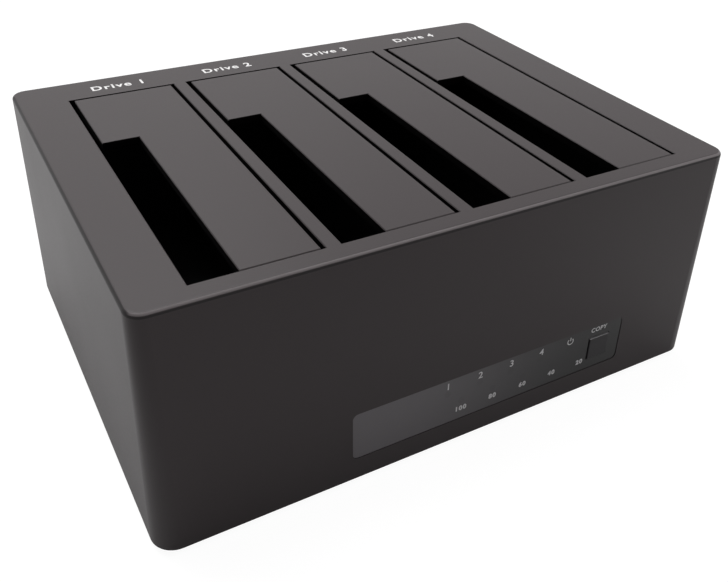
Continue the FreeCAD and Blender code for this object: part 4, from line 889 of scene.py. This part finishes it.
# %% [markdown]
# ## Floor, lamps and camera
# The floor is a plain white sheet under a white sky, as in a small light tent.  To the camera
# the sheet has a light of its own and only a little shade, so it reads as a white sweep with a
# soft shadow.  In reflections it is mostly a lit sheet, darker beside the box, and that gives
# the walls their slow fall of tone.  One big lamp stands high and a little behind, one high at
# the right catches the front's edge, and a weak one low at the right lights the marks.

# %% Floor
FLOOR_SIDE = 3.0
FLOOR_TONE, SEEN_TONE = 0.8, 0.12
SEEN_GLOW, MIRRORED_GLOW = 0.95, 0.18


def white_floor(side):
    """A square sheet.  Tone and own light each have one value for the camera, and the floor
    tone and a weaker glow for what is lit by it or mirrors it."""
    mesh = bpy.data.meshes.new("floor")
    corners = [(-side, -side, 0), (side, -side, 0), (side, side, 0), (-side, side, 0)]
    mesh.from_pydata(corners, [], [(0, 1, 2, 3)])
    floor = bpy.data.objects.new("floor", mesh)
    bpy.context.scene.collection.objects.link(floor)
    material = bpy.data.materials.new("floor_white")
    material.use_nodes = True
    tree = material.node_tree
    tree.nodes.clear()
    output = tree.nodes.new("ShaderNodeOutputMaterial")
    path = add(tree, "LightPath").outputs
    mirrored = math_node(tree, "MAXIMUM", path["Is Glossy Ray"], path["Is Transmission Ray"])
    own = math_node(tree, "MULTIPLY_ADD", path["Is Camera Ray"], SEEN_GLOW,
                    product(tree, mirrored, MIRRORED_GLOW))
    tone = math_node(tree, "MULTIPLY_ADD", path["Is Camera Ray"], SEEN_TONE - FLOOR_TONE,
                     FLOOR_TONE)
    sheet = tree.nodes.new("ShaderNodeAddShader")
    tree.links.new(add(tree, "BsdfDiffuse", Color=tone).outputs[0], sheet.inputs[0])
    tree.links.new(add(tree, "Emission", Strength=own).outputs[0], sheet.inputs[1])
    tree.links.new(sheet.outputs[0], output.inputs["Surface"])
    mesh.materials.append(material)


white_floor(FLOOR_SIDE)
print("floor is", 2 * FLOOR_SIDE, "m wide")

# %% Lamps
# Each lamp: its place and its side in metres, and its power in watts.
LAMPS = {
    "top_box": ((-0.07, 0.46, 0.98), 0.80, 11.5),
    "edge_box": ((0.42, -0.12, 0.90), 0.50, 1.8),
    "near_box": ((0.45, -0.30, 0.30), 0.25, 0.4),
}
AIM = Vector((0, 0, 0.03))
for label, (place, size, watts) in LAMPS.items():
    lamp = bpy.data.lights.new(label, "AREA")
    lamp.size = size
    lamp.energy = watts
    stand = bpy.data.objects.new(label, lamp)
    stand.location = place
    stand.rotation_euler = (AIM - Vector(place)).to_track_quat("-Z", "Y").to_euler()
    bpy.context.scene.collection.objects.link(stand)
print("lamps", len(LAMPS))

# %% Sky
SKY_SEEN, SKY_LIGHT = 1.0, 0.10
world = bpy.data.worlds.new("studio")
world.use_nodes = True
sky = world.node_tree
path = add(sky, "LightPath").outputs
seen = math_node(sky, "MAXIMUM", path["Is Camera Ray"], path["Is Glossy Ray"])
seen = math_node(sky, "MAXIMUM", seen, path["Is Transmission Ray"])
strength = math_node(sky, "MULTIPLY_ADD", seen, SKY_SEEN - SKY_LIGHT, SKY_LIGHT)
sky.links.new(strength, sky.nodes["Background"].inputs["Strength"])
sky.nodes["Background"].inputs["Color"].default_value = (1, 1, 1, 1)
bpy.context.scene.world = world

# %% Camera
# The camera's own directions in the object's frame, and the place it stands at in metres.
CAMERA_RIGHT = Vector((0.870236, -0.491684, 0.030603))
CAMERA_UP = Vector((0.247893, 0.490738, 0.835300))
CAMERA_BACK = Vector((-0.425721, -0.719322, 0.548942))
CAMERA_PLACE = Vector((-0.105193, -0.193978, 0.166501))
lens = bpy.data.cameras.new("camera")
lens.sensor_width = 36.0
lens.lens = 41.87
lens.shift_x = -0.0203
lens.shift_y = -0.0427
lens.clip_start = 0.01
camera = bpy.data.objects.new("camera", lens)
turn = Matrix((CAMERA_RIGHT, CAMERA_UP, CAMERA_BACK)).transposed().to_4x4()
camera.matrix_world = Matrix.Translation(CAMERA_PLACE) @ turn
bpy.context.scene.collection.objects.link(camera)
bpy.context.scene.camera = camera
bpy.context.scene.view_settings.view_transform = "Standard"
print("camera looks from", round(CAMERA_PLACE.length, 3), "m")
